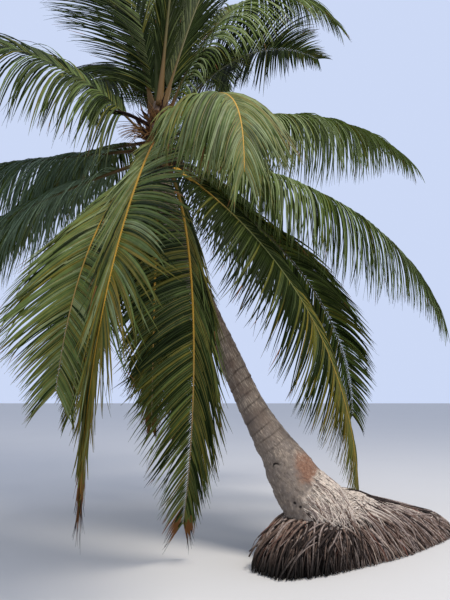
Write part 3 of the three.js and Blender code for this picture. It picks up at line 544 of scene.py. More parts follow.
class Recipe:
    """A material under construction."""

    def __init__(self, name):
        self.material = bpy.data.materials.new(name)
        self.material.use_nodes = True
        self.tree = self.material.node_tree
        self.tree.nodes.clear()

    def node(self, kind, settings=None, inputs=None, output=0):
        """Adds a node with its settings first, then the values or links of its sockets."""
        made = self.tree.nodes.new(kind)
        for key, value in (settings or {}).items():
            setattr(made, key, value)
        for key, value in (inputs or {}).items():
            if isinstance(value, Flow):
                self.tree.links.new(value.socket, made.inputs[key])
            else:
                made.inputs[key].default_value = value
        return Flow(self, made.outputs[output]) if made.outputs else None

    def field(self, name, output="Fac"):
        """A field kept on the mesh: a number by Fac, a direction or place by Vector."""
        return self.node("ShaderNodeAttribute", {"attribute_name": name}, output=output)

    def place(self):
        """The place on the piece, in metres."""
        return self.node("ShaderNodeTexCoord", output="Object")

    def stretched(self, vector, scales):
        """A vector with each of its three numbers scaled."""
        return self.node("ShaderNodeVectorMath", {"operation": "MULTIPLY"}, {0: vector, 1: scales})

    def noise(self, vector, scale, detail=2.0, roughness=0.5):
        """Soft noise, with about scale blotches to the metre."""
        return self.node("ShaderNodeTexNoise", {}, {
            "Vector": vector, "Scale": scale, "Detail": detail, "Roughness": roughness})

    def blend(self, share, low, high):
        """A colour between two colours, or links to them."""
        low, high = (c if isinstance(c, Flow) else (*c[:3], 1.0) for c in (low, high))
        return self.node("ShaderNodeMix", {"data_type": "RGBA"}, {0: share, 6: low, 7: high}, output=2)

    def bump(self, height, distance, strength=1.0):
        return self.node("ShaderNodeBump", {}, {
            "Height": height, "Distance": distance, "Strength": strength})

    def finish(self, colour, roughness, normal=None, specular=0.5, glow=None, glow_share=0.0):
        """Principled surface, with a share of glow where light passes through a thin leaf."""
        inputs = {"Base Color": colour, "Roughness": roughness, "Specular IOR Level": specular}
        if normal is not None:
            inputs["Normal"] = normal
        shader = self.node("ShaderNodeBsdfPrincipled", {}, inputs)
        if glow is not None:
            through = self.node("ShaderNodeBsdfTranslucent", {}, {"Color": (*glow, 1.0)})
            shader = self.node("ShaderNodeMixShader", {}, {0: glow_share, 1: shader, 2: through})
        self.node("ShaderNodeOutputMaterial", {}, {"Surface": shader})
        return self.material


# Colours that several finishes share: dark and pale flecks, and the painted shade of roots
DARK_FLECK = (0.05, 0.04, 0.02)
BARK_BLOOM = (0.62, 0.55, 0.47)
ROOT_BLOOM = (0.55, 0.47, 0.38)
SHADED_ROOT = (0.006, 0.005, 0.004)


def varied(colour, share):
    """A darker and a lighter form of a colour."""
    return [tuple(min(c * (1 + way * share), 1.0) for c in colour[:3]) for way in (-1, 1)]


def leaf_material(name, colour, glow, gloss=0.46, shine=0.14):
    """Leathery leaf: faint blotches, fine grain in its gloss, and light through it."""
    recipe = Recipe(name)
    place = recipe.place()
    blotch = recipe.noise(place, 9.0, 3.0)
    fine = recipe.noise(place, 160.0, 2.0)
    dark, light = varied(colour, 0.22)
    shade = recipe.blend((blotch * 0.7 + fine * 0.3).span(0.3, 0.7), dark, light)
    rough = gloss + fine * 0.12
    normal = recipe.bump(fine, 0.0006, 0.6)
    return recipe.finish(shade, rough, normal, shine, glow, 0.22)


def rib_material(name, low, middle, high):
    """Smooth waxy rib that changes colour from its stalk to its tip, with dark flecks."""
    recipe = Recipe(name)
    along = recipe.field("along")
    place = recipe.place()
    streak = recipe.noise(place, 24.0, 3.0)
    fine = recipe.noise(place, 210.0, 2.0)
    lower = recipe.blend((along + streak * 0.16 - 0.08).span(0.05, 0.32), low, middle)
    colour = recipe.blend((along + streak * 0.2 - 0.1).span(0.45, 0.95), lower, high)
    dark = recipe.blend(0.45, colour, DARK_FLECK)
    colour = recipe.blend(fine.span(0.6, 0.85) * 0.6, colour, dark)
    return recipe.finish(colour, 0.48 + fine * 0.2, recipe.bump(streak * 0.5 + fine * 0.5, 0.0015), 0.25)


def bark_material(bark):
    """Grey-brown bark: dark lines at the leaf scars, fine upright cracks, and a worn patch."""
    recipe = Recipe("palm_bark")
    grain = recipe.field("grain", "Vector")
    scar = recipe.field("scar")
    rise = recipe.field("rise")
    worn = recipe.field("worn")
    pits = recipe.field("pits")
    cracks = recipe.noise(recipe.stretched(grain, (1.0, 1.0, 0.09)), 95.0, 4.0, 0.65)
    splits = recipe.noise(recipe.stretched(grain, (1.0, 1.0, 0.13)), 105.0, 2.0, 0.5)
    cloud = recipe.noise(grain, 3.4, 4.0, 0.6)
    patch = recipe.noise(grain, 11.0, 4.0, 0.6)
    speck = recipe.noise(grain, 120.0, 3.0, 0.6)
    # Weathered bark, the foot below it and the worn patch
    upper = recipe.blend(cloud.span(0.38, 0.62), bark.brown, bark.grey)
    foot = recipe.blend(patch.span(0.35, 0.65), bark.foot, bark.grey)
    colour = recipe.blend((rise + patch * 0.5 - 0.25).span(0.95, 1.75), foot, upper)
    wear = (worn + patch * 0.6 + cracks * 0.5 + speck * 0.3 - 0.7).span(0.22, 0.75)
    colour = recipe.blend(wear * 0.8, colour, recipe.blend(speck.span(0.3, 0.7), bark.worn_dark, bark.worn))
    # Mottling, cracks, pale splits and bloom
    mottle = recipe.noise(recipe.stretched(grain, (1.0, 1.0, 0.6)), 38.0, 3.0, 0.6)
    low = rise.span(1.3, 0.8)
    colour = recipe.blend(mottle.span(0.5, 0.7) * (low * 0.35 + 0.15), colour, bark.crack)
    colour = recipe.blend(mottle.span(0.44, 0.3) * low * 0.4, colour, bark.fissure)
    dark = recipe.blend(0.72, colour, bark.crack)
    colour = recipe.blend(cracks.span(0.56, 0.74) * 0.75, colour, dark)
    split = splits.span(0.52, 0.6) * (cloud + patch * 0.3).span(0.48, 0.72) * rise.span(0.8, 1.1)
    colour = recipe.blend(split * 0.5, colour, bark.fissure)
    pale = recipe.blend(0.4, colour, BARK_BLOOM)
    colour = recipe.blend((speck * 0.5 + patch * 0.5).span(0.56, 0.72) * 0.6, colour, pale)
    # Scars, painted shade in the pits and the old wound's rim, root fibre over the bark, and painted shade at
    # its foot
    colour = recipe.blend(scar * (0.45 + cracks * 0.6), colour, bark.crack)
    colour = recipe.blend((pits + speck * 0.4 - 0.2).span(0.25, 0.8), colour, bark.pit)
    fibre = recipe.blend((cracks * 0.6 + speck * 0.6).span(0.42, 0.72), bark.fibre_low, bark.fibre_high)
    colour = recipe.blend(recipe.field("mat"), colour, fibre)
    colour = recipe.blend((rise + patch * 0.1).span(0.5, 0.4), colour, bark.shade)
    height = cracks * -0.6 + speck * 0.25 + patch * 0.3
    return recipe.finish(colour, 0.78 + speck * 0.2, recipe.bump(height, 0.006), 0.25)


def root_material(name, colour, pale=0.0, bare=None):
    """Dry woody root with rings of dark and pale along it."""
    recipe = Recipe(name)
    place = recipe.place()
    band = recipe.noise(place, 38.0, 3.0, 0.6)
    fine = recipe.noise(place, 260.0, 2.0)
    dark, light = varied(colour, 0.38)
    shade = recipe.blend((band * 0.75 + fine * 0.25).span(0.32, 0.68), dark, light)
    if pale:
        shade = recipe.blend(band.span(0.58, 0.75) * pale, shade, ROOT_BLOOM)
    if bare:
        shade = recipe.blend(recipe.field("bare") * (band.span(0.3, 0.7) * 0.5 + 0.5), shade, bare)
        # Painted shade from the field: the root turns near black where it lies in shade
        shade = recipe.blend(recipe.field("damp") * 0.96, shade, SHADED_ROOT)
    return recipe.finish(shade, 0.8 + fine * 0.15, recipe.bump(fine, 0.001), 0.2)


def relief_shade_material(name, low, high, field="relief", scale=60.0):
    """Matted fibre: darker where the relief dips, as painted shade in the hollows, and lighter where it
    stands.
    """
    recipe = Recipe(name)
    relief = recipe.field(field)
    place = recipe.place()
    mat = recipe.noise(recipe.stretched(place, (1.0, 1.0, 2.2)), scale, 4.0, 0.65)
    patch = recipe.noise(place, 7.0, 3.0)
    share = (relief * 0.6 + mat * 0.45 + patch * 0.35 - 0.2).span(0.2, 0.8)
    colour = recipe.blend(share, low, high)
    return recipe.finish(colour, 0.85 + mat * 0.12, recipe.bump(mat, 0.008), 0.2)


def crown_point(height):
    """The point on the crown's axis at a height above its lower end."""
    return CROWN_LOW + CROWN_AXIS * height


def trunk_surface():
    """Rings of points on the smooth trunk, with their turn, distance along it and outward direction."""
    fine = smooth_curve(TRUNK_STATIONS, np.linspace(0, 1, 1500))[:, [1, 2, 0, 3]]
    walked = np.concatenate([[0], np.cumsum(np.linalg.norm(np.diff(fine[:, :3], axis=0), axis=1))])
    rings = int(walked[-1] / TRUNK_RING_STEP)
    along = np.linspace(0, walked[-1], rings)
    here = np.stack([np.interp(along, walked, fine[:, i]) for i in range(4)], axis=1)
    centre, radius = here[:, :3], here[:, 3]
    lean = unit(np.gradient(centre, axis=0))
    flat = unit(lean * (1, 1, 0))
    across = left_of(flat)
    stretch = mix(1, 1 / lean[:, 2], smoothstep(centre[:, 2], *TRUNK_SQUARE))
    turn = round_turns(TRUNK_SIDES)
    offset = (flat[:, None] * (np.cos(turn)[:, None] * (radius * stretch)[:, None, None])
              + across[:, None] * (np.sin(turn)[:, None] * radius[:, None, None]))
    points = centre[:, None] + offset
    axial = along[:, None] + np.einsum("rsk,rk->rs", offset, lean)
    return points, np.broadcast_to(turn, axial.shape), axial, unit(offset), radius


def trunk_point(height, turn, lift=0.0):
    """A point on the trunk by its height and its turn from the way the trunk leans."""
    fine = smooth_curve(TRUNK_STATIONS, np.linspace(0, 1, 600))
    centre_x, centre_y, radius = (np.interp(height, fine[:, 0], fine[:, i]) for i in (1, 2, 3))
    slopes = np.gradient(fine[:, 1:3], fine[:, 0], axis=0)
    slope_x, slope_y = (np.interp(height, fine[:, 0], slopes[:, i]) for i in (0, 1))
    steep = np.hypot(slope_x, slope_y)
    stretch = mix(1, np.sqrt(1 + steep ** 2), smoothstep(height, *TRUNK_SQUARE))
    ahead = np.cos(turn) * (radius * stretch + lift) / steep
    aside = np.sin(turn) * (radius + lift) / steep
    return np.stack([centre_x + slope_x * ahead - slope_y * aside,
                     centre_y + slope_y * ahead + slope_x * aside, height + 0 * ahead], axis=-1)


def leaf_scars(turn, axial, share, upper, bark):
    """Relief of the leaf scars, and how dark each place of the bark is from them."""
    around = turn / (2 * math.pi)
    wander = Ripple(11, 6, 60)(around, share) * 0.012 + Ripple(12, 3, 24)(around, share) * 0.02
    tilt = 0.035 * np.cos(turn - 0.8)
    phase = (axial + tilt * upper + wander) / bark.scar_spacing % 1
    groove = np.exp(-((phase - 0.5) / 0.1) ** 2)
    ledge = smoothstep(phase, 0.5, 0.56) * (1 - smoothstep(phase, 0.56, 1.0))
    deep = 0.6 + 0.4 * Ripple(13, 9, 130)(around, share)
    relief = bark.scar_depth * (1.2 * ledge - groove) * deep * mix(0.15, 1, upper)
    return relief, np.exp(-((phase - 0.5) / 0.07) ** 2) * deep * mix(0.1, 1, upper)


def bark_pits(points, around, share):
    """How deep the pits and the old wound's rim are, as a share of their full depth; the bark is painted
    darker by it, as shade in them.
    """
    pits = np.zeros(share.shape)
    for *place, size in TRUNK_PITS:
        away = np.linalg.norm((points - place) * (1, 1, 1.5), axis=-1) / size
        pits = np.maximum(pits, 1 - smoothstep(away, 0.4, 1.5))
    ragged = 1 + 0.3 * Ripple(18, 70, 300)(around, share)
    from_wound = points - WOUND_PLACE
    rim = np.exp(-((np.linalg.norm(from_wound, axis=-1) / WOUND_RIM - 1) / 0.28) ** 2)
    rim *= smoothstep(from_wound[..., 2] - 0.6 * from_wound[..., 0], -0.02, 0.03)
    return np.maximum(pits * ragged, rim * 0.75 * ragged)


def build_trunk(bark):
    """Bark over the whole trunk, with its leaf scars, cracks and pits as relief."""
    points, turn, axial, out, radius = trunk_surface()
    share = axial / axial.max()
    around = turn / (2 * math.pi)
    height = points[..., 2]
    upper = smoothstep(height, *BARK_CHANGE)
    relief, scars = leaf_scars(turn, axial, share, upper, bark)
    for seed, cells_round, cells_along, foot, top in BARK_RIPPLES:
        relief += Ripple(seed, cells_round, cells_along)(around, share) * mix(foot, top, upper)
    pits = bark_pits(points, around, share)
    relief -= pits * PIT_DEPTH
    relief *= smoothstep(radius, 0.045, 0.1)[:, None]
    relief[height < 0.02] = 0
    worn = np.exp(-(((points - WORN_PLACE) / WORN_REACH) ** 2).sum(-1))
    edge = np.radians(np.interp(height, *TRUNK_MAT) + 9 * Ripple(19, 40, 90)(around, share))
    mat = 1 - smoothstep(np.abs(turn - math.pi) - edge, -0.1, 0.1)
    relief += mat * (0.004 + 0.005 * Ripple(20, 60, 160)(around, share))
    grain = np.stack([np.cos(turn) * radius[:, None], np.sin(turn) * radius[:, None], axial], axis=-1)
    surface = points + out * relief[..., None]
    surface[..., 2] = np.maximum(surface[..., 2], 0)
    parts = Collector()
    parts.add(surface.reshape(-1, 3), closed_skin(surface), grain=grain.reshape(-1, 3),
              scar=(scars * (1 - mat)).ravel(), rise=height.ravel(), worn=worn.ravel(),
              pits=pits.ravel(), mat=mat.ravel())
    return parts.piece("trunk_bark", [bark_material(bark)], "bark", ["trunk"])


RIDGE_ALONG = level_heading(np.radians(RIDGE_AZIMUTH))
RIDGE_ACROSS = -left_of(RIDGE_ALONG)


def ridge_point(along, across, height):
    """A point from its distances along and across the ridge and its height."""
    along, across, height = np.broadcast_arrays(along, across, height)
    return along[..., None] * RIDGE_ALONG + across[..., None] * RIDGE_ACROSS + height[..., None] * UP


def ridge_at(along):
    """Height and half width of the bole."""
    return [np.interp(along, RIDGE_STATIONS[:, 0], RIDGE_STATIONS[:, i]) for i in (1, 2)]


def bole_point(along, arc, lift=0.0):
    """A point on the bole. arc runs from 0 at the front foot to 1 at the rear foot."""
    height, width = ridge_at(along)
    turn = np.clip(arc, 0, 1) * math.pi
    across = np.cos(turn) * (width + lift)
    return ridge_point(along, across, np.sin(turn) ** BOLE_ROUNDNESS * (height + lift))


def skirt_outline(turn):
    """The skirt's edge on the ground at angles round it: along and across the ridge."""
    rounded = [np.sign(v) * np.abs(v) ** SKIRT_ROUNDNESS for v in (np.cos(turn), np.sin(turn))]
    along = mix(*SKIRT_ENDS, 0.5) + (SKIRT_ENDS[1] - SKIRT_ENDS[0]) / 2 * rounded[0]
    narrow = smoothstep(along, SKIRT_NARROW_START, SKIRT_ENDS[1])
    return along, mix(*SKIRT_WIDTHS, narrow) * rounded[1]


def skirt_feet(count, rng):
    """Evenly strewn places where roots meet the ground: along and across the ridge."""
    along, across = skirt_outline(np.linspace(0, 2 * math.pi, SKIRT_EDGE_STEPS))
    walked = np.concatenate([[0], np.cumsum(np.hypot(np.diff(along), np.diff(across)))])
    place = (np.arange(count) + rng.uniform(0, 1, count)) / count * walked[-1]
    return np.interp(place, walked, along), np.interp(place, walked, across)


def skirt_part(along, across):
    """Which node of the skirt a root belongs to."""
    middle = np.where(across > 0, "root_skirt_front", "root_skirt_rear")
    right = np.where(across > 0, "root_skirt_right_front", "root_skirt_right_rear")
    return np.where(along < SKIRT_PARTS[0], "root_skirt_left",
                    np.where(along > SKIRT_PARTS[1], right, middle))


def root_lines(along, across, start, walk, turn, drift):
    """Ways of roots to feet on the ground, from the trunk near it and from the bole elsewhere.

    start is how high on the trunk and how far up the bole, turn and drift how far aside they begin.
    """
    near = 1 - smoothstep(along, 0.1, 0.55)
    heading = np.arctan2(across - TRUNK_FOOT[1], along - TRUNK_FOOT[0]) + turn
    from_along = np.clip(along - drift, -0.4, 1.8)
    height, width = ridge_at(from_along)
    slope = start[1] * math.pi
    from_along = mix(from_along, TRUNK_FOOT[0] + TRUNK_FOOT[2] * np.cos(heading), near)
    from_across = mix(np.sign(across) * np.cos(slope) * width,
                      TRUNK_FOOT[1] + TRUNK_FOOT[2] * np.sin(heading), near)
    top = mix(np.sin(slope) ** BOLE_ROUNDNESS * (height + 0.012), start[0], near)
    bend = mix(0.3, 0.72, near)[:, None]
    swing = mix(walk, np.sin(walk * math.pi / 2), bend)
    drop = mix(1 - walk, np.cos(walk * math.pi / 2), bend)
    return ridge_point(mix(from_along[:, None], along[:, None], swing),
                       mix(from_across[:, None], across[:, None], swing), top[:, None] * drop)


def skirt_roots(count, rng, layer):
    """Lines of hanging roots, and the place of each foot. layer is how far out they hang."""
    along, across = skirt_feet(count, rng)
    out = layer * rng.uniform(0.95, 1.04, count)
    middle = np.clip(along, *RIDGE_CORE)
    start = (rng.uniform(0.33, 0.43, count),
             rng.uniform(0.12, 0.27, count) + 0.19 * smoothstep(along, 0.8, 1.25))
    turn = rng.normal(0, 0.5, count)
    drift = 0.05 + 0.42 * smoothstep(along, -0.1, 1.1) + rng.normal(0, 0.17, count)
    walk = np.linspace(0, 1, ROOT_STATIONS) * np.ones((count, 1))
    short = (rng.uniform(0, 1, count) < 0.22) * smoothstep(-along, -0.6, 0.4)
    walk = walk * (1 - short * rng.uniform(0.2, 0.6, count))[:, None]
    out = out + short * rng.uniform(0.1, 0.36, count)
    lines = root_lines(mix(middle, along, out), across * out, start, walk, turn, drift)
    swing = rng.normal(0, 1, (3, count, 1)) * np.sin(walk * rng.uniform(3, 9, (count, 1)))
    lines += np.moveaxis(swing, 0, -1) * (0.013, 0.013, 0.008)
    lines[..., 2] = np.maximum(lines[..., 2], 0.009)
    return lines, along, across


def root_picks(along, depth, rng):
    """The kind of each hanging root, by its place along the ridge and the layer that it hangs in. Darker
    kinds at the skirt's left end and in the layers behind are painted shade.
    """
    shaded_end = 1 - smoothstep(along, -0.75, -0.1)
    weights = ROOT_SHARES + ROOT_SHARES_SHADE * shaded_end[:, None]
    weights[depth > 0] *= ROOT_SHARES_SHADE_BEHIND
    weights /= weights.sum(axis=1, keepdims=True)
    chosen = (weights.cumsum(axis=1) < rng.uniform(0, 1, (len(along), 1))).sum(axis=1)
    return np.minimum(chosen, len(ROOT_KINDS) - 1)


def build_skirt(roots):
    """Thin bare roots that hang from the bole all round, over a dark core painted as shade."""
    rng = np.random.default_rng(31)
    materials = [root_material("root_" + kind, getattr(roots, kind), ROOT_FLECKS.get(kind, 0.0), roots.bole)
                 for kind in ROOT_KINDS]
    layers = [skirt_roots(int(roots.count * share), rng, out) for share, out in SKIRT_LAYERS]
    lines, along, across = (np.concatenate(rows) for rows in zip(*layers))
    depth = np.repeat(np.arange(len(layers)), [len(layer[1]) for layer in layers])
    owners = skirt_part(along, across)
    chosen = root_picks(along, depth, rng)
    radius = roots.radius * rng.uniform(0.55, 1.5, len(along))
    taper = np.linspace(1.15, 0.6, ROOT_STATIONS)
    begin = rng.uniform(-0.05, 0.3, (len(along), 1)) * smoothstep(along, -0.45, 0)[:, None]
    bare = 1 - smoothstep(np.linspace(0, 1, ROOT_STATIONS) - begin, 0, 0.12)
    # Painted shade on the roots: near black low down at the skirt's left end, and over the innermost layer
    damp = (1 - smoothstep(along, -0.45, 0.4))[:, None] * (1 - smoothstep(lines[..., 2], 0.04, 0.38))
    shown = np.stack([bare * (depth == 0)[:, None], np.maximum(damp, (depth == 2)[:, None] * 0.6)])
    for owner in sorted(set(owners)):
        mine = owners == owner
        parts = Collector()
        points, faces = tubes(lines[mine], radius[mine, None] * taper, ROOT_SIDES)
        points[:, 2] = np.maximum(points[:, 2], LOWEST_ROOT)
        bare, damp = np.repeat(shown[:, mine].reshape(2, -1), ROOT_SIDES, axis=1)
        parts.add(points, faces, tube_picks(chosen[mine], ROOT_STATIONS, ROOT_SIDES), bare=bare, damp=damp)
        parts.piece(owner.replace("skirt", "strands"), materials, "roots", [owner])
    build_shade_core(roots)


def build_shade_core(roots):
    """Dark heart of the skirt inside the hanging roots: a closed sheet painted as the shade there."""
    steps = np.linspace(0, 1, CORE_SIDES, endpoint=False)
    along, across = skirt_outline(steps * 2 * math.pi)
    walk = np.linspace(1, 0, CORE_RINGS)
    ripple = Ripple(41, 140, 9)(steps[None, :], walk[:, None])
    middle = np.clip(along, *RIDGE_CORE)
    start = (0.34 + 0 * along, 0.22 + 0 * along)
    lines = root_lines(mix(middle, along, CORE_SHARE), across * CORE_SHARE, start,
                       walk * np.ones((CORE_SIDES, 1)), 0, 0)
    rings = lines.transpose(1, 0, 2) * (1 + 0.02 * ripple[..., None] * (1, 1, 0))
    rings[0, :, 2] = 0
    parts = Collector()
    parts.add(rings.reshape(-1, 3), closed_skin(rings), relief=ripple.ravel() * 0.5 + 0.5)
    parts.piece("root_core", [relief_shade_material("root_core", roots.core_shade, roots.dark)], "roots")


def build_bole(roots):
    """Pale fibrous bole beside the trunk, and the dead roots that lie on it."""
    along = np.linspace(BOLE_START, RIDGE_STATIONS[-1, 0], BOLE_STEPS[0])[:, None]
    arc = np.linspace(0, 1, BOLE_STEPS[1])[None, :]
    run = (along - BOLE_START) / (RIDGE_STATIONS[-1, 0] - BOLE_START)
    slide = run + 0.12 * np.abs(arc - 0.5)
    streak = Ripple(51, 2, 150)(arc * 0.5, slide) * 0.7 + Ripple(52, 14, 34)(arc * 0.5, slide) * 0.3
    lump = Ripple(53, 8, 14)(arc * 0.5, run + 0 * arc)
    lift = streak * 0.011 + lump * 0.016
    rings = bole_point(along, arc, lift)
    rings[..., 2] = np.maximum(rings[..., 2], 0)
    index = np.arange(rings.size // 3).reshape(BOLE_STEPS)
    floor = np.stack([index[:-1, 0], index[1:, 0], index[1:, -1], index[:-1, -1]], axis=-1)
    # The relief field also sets where the bole is painted with shade in its hollows
    parts = Collector()
    parts.add(rings.reshape(-1, 3), [skin(rings, closed=False)[:, ::-1], floor, index[:1], index[-1:, ::-1]],
              relief=(streak * 0.5 + 0.5).ravel())
    surface = relief_shade_material("bole_fibre", roots.bole_hollow_shade, roots.bole, scale=90.0)
    parts.piece("bole_fibre", [surface], "bole", ["root_bole"])
    build_bole_roots(roots)


def bole_strands(count, rng):
    """Dead roots that run over the bole: their lines, relative thickness and materials."""
    start = rng.uniform(-0.08, 1.7, count)
    walk = np.linspace(0, 1, BOLE_ROOT_STATIONS)
    slide = rng.uniform(0.08, 0.42, count)[:, None] * walk
    front = rng.uniform(0, 1, count) < 0.6
    begin = rng.uniform(0.22, 0.52, count)
    reach = rng.normal(0.12, 0.1, count)
    arc = begin[:, None] - (reach[:, None] * walk ** 1.3)
    arc = np.where(front[:, None], arc, 1 - arc)
    thick = rng.uniform(0.35, 0.8, (count, 1))
    wave = rng.normal(0, 0.006, (count, 1)) * np.sin(walk * rng.uniform(4, 10, (count, 1)))
    along = np.minimum(start[:, None] + slide + wave, BOLE_ROOT_END)
    lines = bole_point(along, arc + wave * 2, 0.008 + rng.uniform(0, 0.012, (count, 1)))
    shade = start + rng.normal(0, 0.3, count)
    chosen = np.where(shade < 0.8, 0, np.where(shade < 1.2, 1, 2))
    chosen = np.where(rng.uniform(0, 1, count) < 0.12, rng.integers(2, 4, count), chosen)
    return lines, thick, chosen


def flank_strands(count, rng):
    """Roots that lie on the trunk's flank, in the same form."""
    walk = np.linspace(0, 1, BOLE_ROOT_STATIONS)
    top = rng.uniform(0.45, 0.85, count)
    side = rng.uniform(-1, 1, count) * np.radians(np.interp(top, *TRUNK_MAT))
    height = np.maximum(top[:, None] - rng.uniform(0.06, 0.22, (count, 1)) * walk, 0.36)
    side = side[:, None] * (1 - 0.2 * walk) + rng.normal(0, 0.16, (count, 1)) * walk
    lines = trunk_point(height, math.pi + side, 0.007 + rng.uniform(0, 0.012, (count, 1)))
    thick = rng.uniform(0.3, 0.7, (count, 1))
    return lines, thick, np.minimum(rng.exponential(0.75, count).astype(int), 3)


def long_strands(count, rng):
    """A few long roots along the top of the bole, in the same form."""
    walk = np.linspace(0, 1, LONG_ROOT_STATIONS)
    start = rng.uniform(0.15, 0.9, count)[:, None]
    end = rng.uniform(1.55, 1.87, count)[:, None]
    along = mix(start, end, walk)
    arc = rng.uniform(0.3, 0.66, (count, 1)) - 0.08 * walk * rng.normal(0.6, 0.6, (count, 1))
    arc = arc + 0.018 * np.sin(walk * rng.uniform(6, 14, (count, 1)))
    lift = 0.016 + 0.014 * np.abs(np.sin(walk * rng.uniform(3, 8, (count, 1))))
    thick = rng.uniform(0.9, 1.7, (count, 1))
    return bole_point(along, arc, lift), thick, rng.integers(1, 4, count)


def build_bole_roots(roots):
    """Roots that lie on the bole and on the trunk's flank."""
    rng = np.random.default_rng(57)
    parts = Collector()
    for strands, count, sides in (
            (bole_strands, roots.bole_count, BOLE_ROOT_SIDES),
            (flank_strands, roots.flank_count, BOLE_ROOT_SIDES),
            (long_strands, LONG_ROOTS, LONG_ROOT_SIDES)):
        lines, thick, chosen = strands(count, rng)
        taper = np.linspace(1.1, 0.6, lines.shape[1])
        parts.add_tubes(lines, roots.radius * thick * taper, sides, chosen)
    materials = [
        root_material("bole_root_pale", roots.bole, 0.4),
        root_material("bole_root_grey", roots.grey, 0.6),
        root_material("bole_root_brown", roots.brown, 0.2),
        root_material("bole_root_dark", roots.dark),
    ]
    parts.piece("bole_roots", materials, "bole")


def build_sheath(crown):
    """Brown fibre round the top of the trunk, from the sheaths of old leaves."""
    share = np.linspace(0, 1, SLEEVE_RINGS)[:, None]
    around = (np.arange(SLEEVE_SIDES) / SLEEVE_SIDES)[None, :]
    turn = around * 2 * math.pi
    spiral = (around * 5 + share * 6) % 1
    flap = smoothstep(spiral, 0.0, 0.9) * (1 - smoothstep(spiral, 0.92, 1.0))
    fray = Ripple(62, 80, 20)(around + share * 0.3, share + 0 * around)
    radius = mix(*SLEEVE_RADII, share) * (1 + 0.1 * np.sin(share * math.pi)) - 0.012
    radius = radius + flap * 0.02 + fray * 0.004
    heights = mix(*SLEEVE_SPAN, share)
    surface = crown_point(0) + heights[..., None] * CROWN_AXIS + level_heading(turn) * radius[..., None]
    parts = Collector()
    parts.add(surface.reshape(-1, 3), closed_skin(surface),
              relief=np.clip(flap * 0.6 + fray * 0.4 + 0.2, 0, 1).ravel())
    material = relief_shade_material("sheath_fibre", crown.fibre_dark, crown.fibre, scale=120.0)
    parts.piece("crown_sheath", [material], "fibre", ["crown_sleeve"])


def build_fibres(crown):
    """Loose fibres that run round the sheath and stray from it."""
    rng = np.random.default_rng(61)
    count = crown.fibre_count
    walk = np.linspace(0, 1, FIBRE_STATIONS)
    base = rng.uniform(0, 1, count)
    height = rng.uniform(0.0, 0.74, count)
    rise = rng.uniform(-0.16, 0.3, count)
    sweep = rng.normal(0, 0.9, count)
    turn = (base * 2 * math.pi)[:, None] + sweep[:, None] * walk
    level = height[:, None] + rise[:, None] * walk
    low, high = SLEEVE_SPAN
    hug = mix(*SLEEVE_RADII, np.clip((level - low) / (high - low), 0, 1)) + 0.012
    stray = np.abs(rng.normal(0, 0.03, count))[:, None] * walk ** 2
    lines = crown_point(0) + level[..., None] * CROWN_AXIS + level_heading(turn) * (hug + stray)[..., None]
    lines[..., 2] -= stray * 1.5
    radius = rng.uniform(0.0012, 0.0034, (count, 1)) * np.linspace(1.0, 0.4, FIBRE_STATIONS)
    strands = Collector()
    strands.add_tubes(lines, radius, FIBRE_SIDES, rng.integers(0, 2, count))
    materials = [root_material("fibre_light", crown.fibre), root_material("fibre_dark", crown.fibre_dark)]
    strands.piece("crown_fibres", materials, "fibre")


def build_flaps(crown):
    """Torn, pointed ends of old sheaths round the heart of the crown."""
    rng = np.random.default_rng(65)
    count = crown.flap_count
    walk = np.linspace(0, 1, FLAP_STATIONS)
    turn = rng.uniform(0, 2 * math.pi, count)
    heading = level_heading(turn)
    side = left_of(heading)
    rise = np.radians(rng.normal(40, 24, (count, 1)) + rng.normal(-12, 34, (count, 1)) * walk)
    sway = rng.normal(0, 0.35, (count, 1)) * walk
    step = (heading[:, None] * np.cos(rise)[..., None] + side[:, None] * sway[..., None]
            + UP * np.sin(rise)[..., None])
    length = rng.uniform(0.1, 0.34, (count, 1, 1))
    seat = rng.uniform(0.02, 0.74, count)[:, None]
    start = crown_point(0) + seat * CROWN_AXIS + heading * mix(*SLEEVE_RADII, seat) * 0.9
    centre = start[:, None] + np.cumsum(step, axis=1) * length / FLAP_STATIONS
    half = side[:, None] * (rng.uniform(0.006, 0.026, (count, 1, 1)) * (1 - walk ** 1.5 * 0.94)[:, None])
    crease = np.cross(half, step) * 1.2
    strips = np.stack([centre - half, centre + crease, centre + half], axis=2)
    kind = np.repeat(rng.integers(0, 4, count), (FLAP_STATIONS - 1) * 2)
    parts = Collector()
    parts.add(strips.reshape(-1, 3), [strip_faces(strips)], [kind])
    materials = [root_material("flap_dark", crown.husk), root_material("flap_brown", crown.fibre_dark),
                 root_material("flap_rust", crown.fibre), root_material("flap_tan", crown.twig)]
    parts.piece("crown_flaps", materials, "fibre")


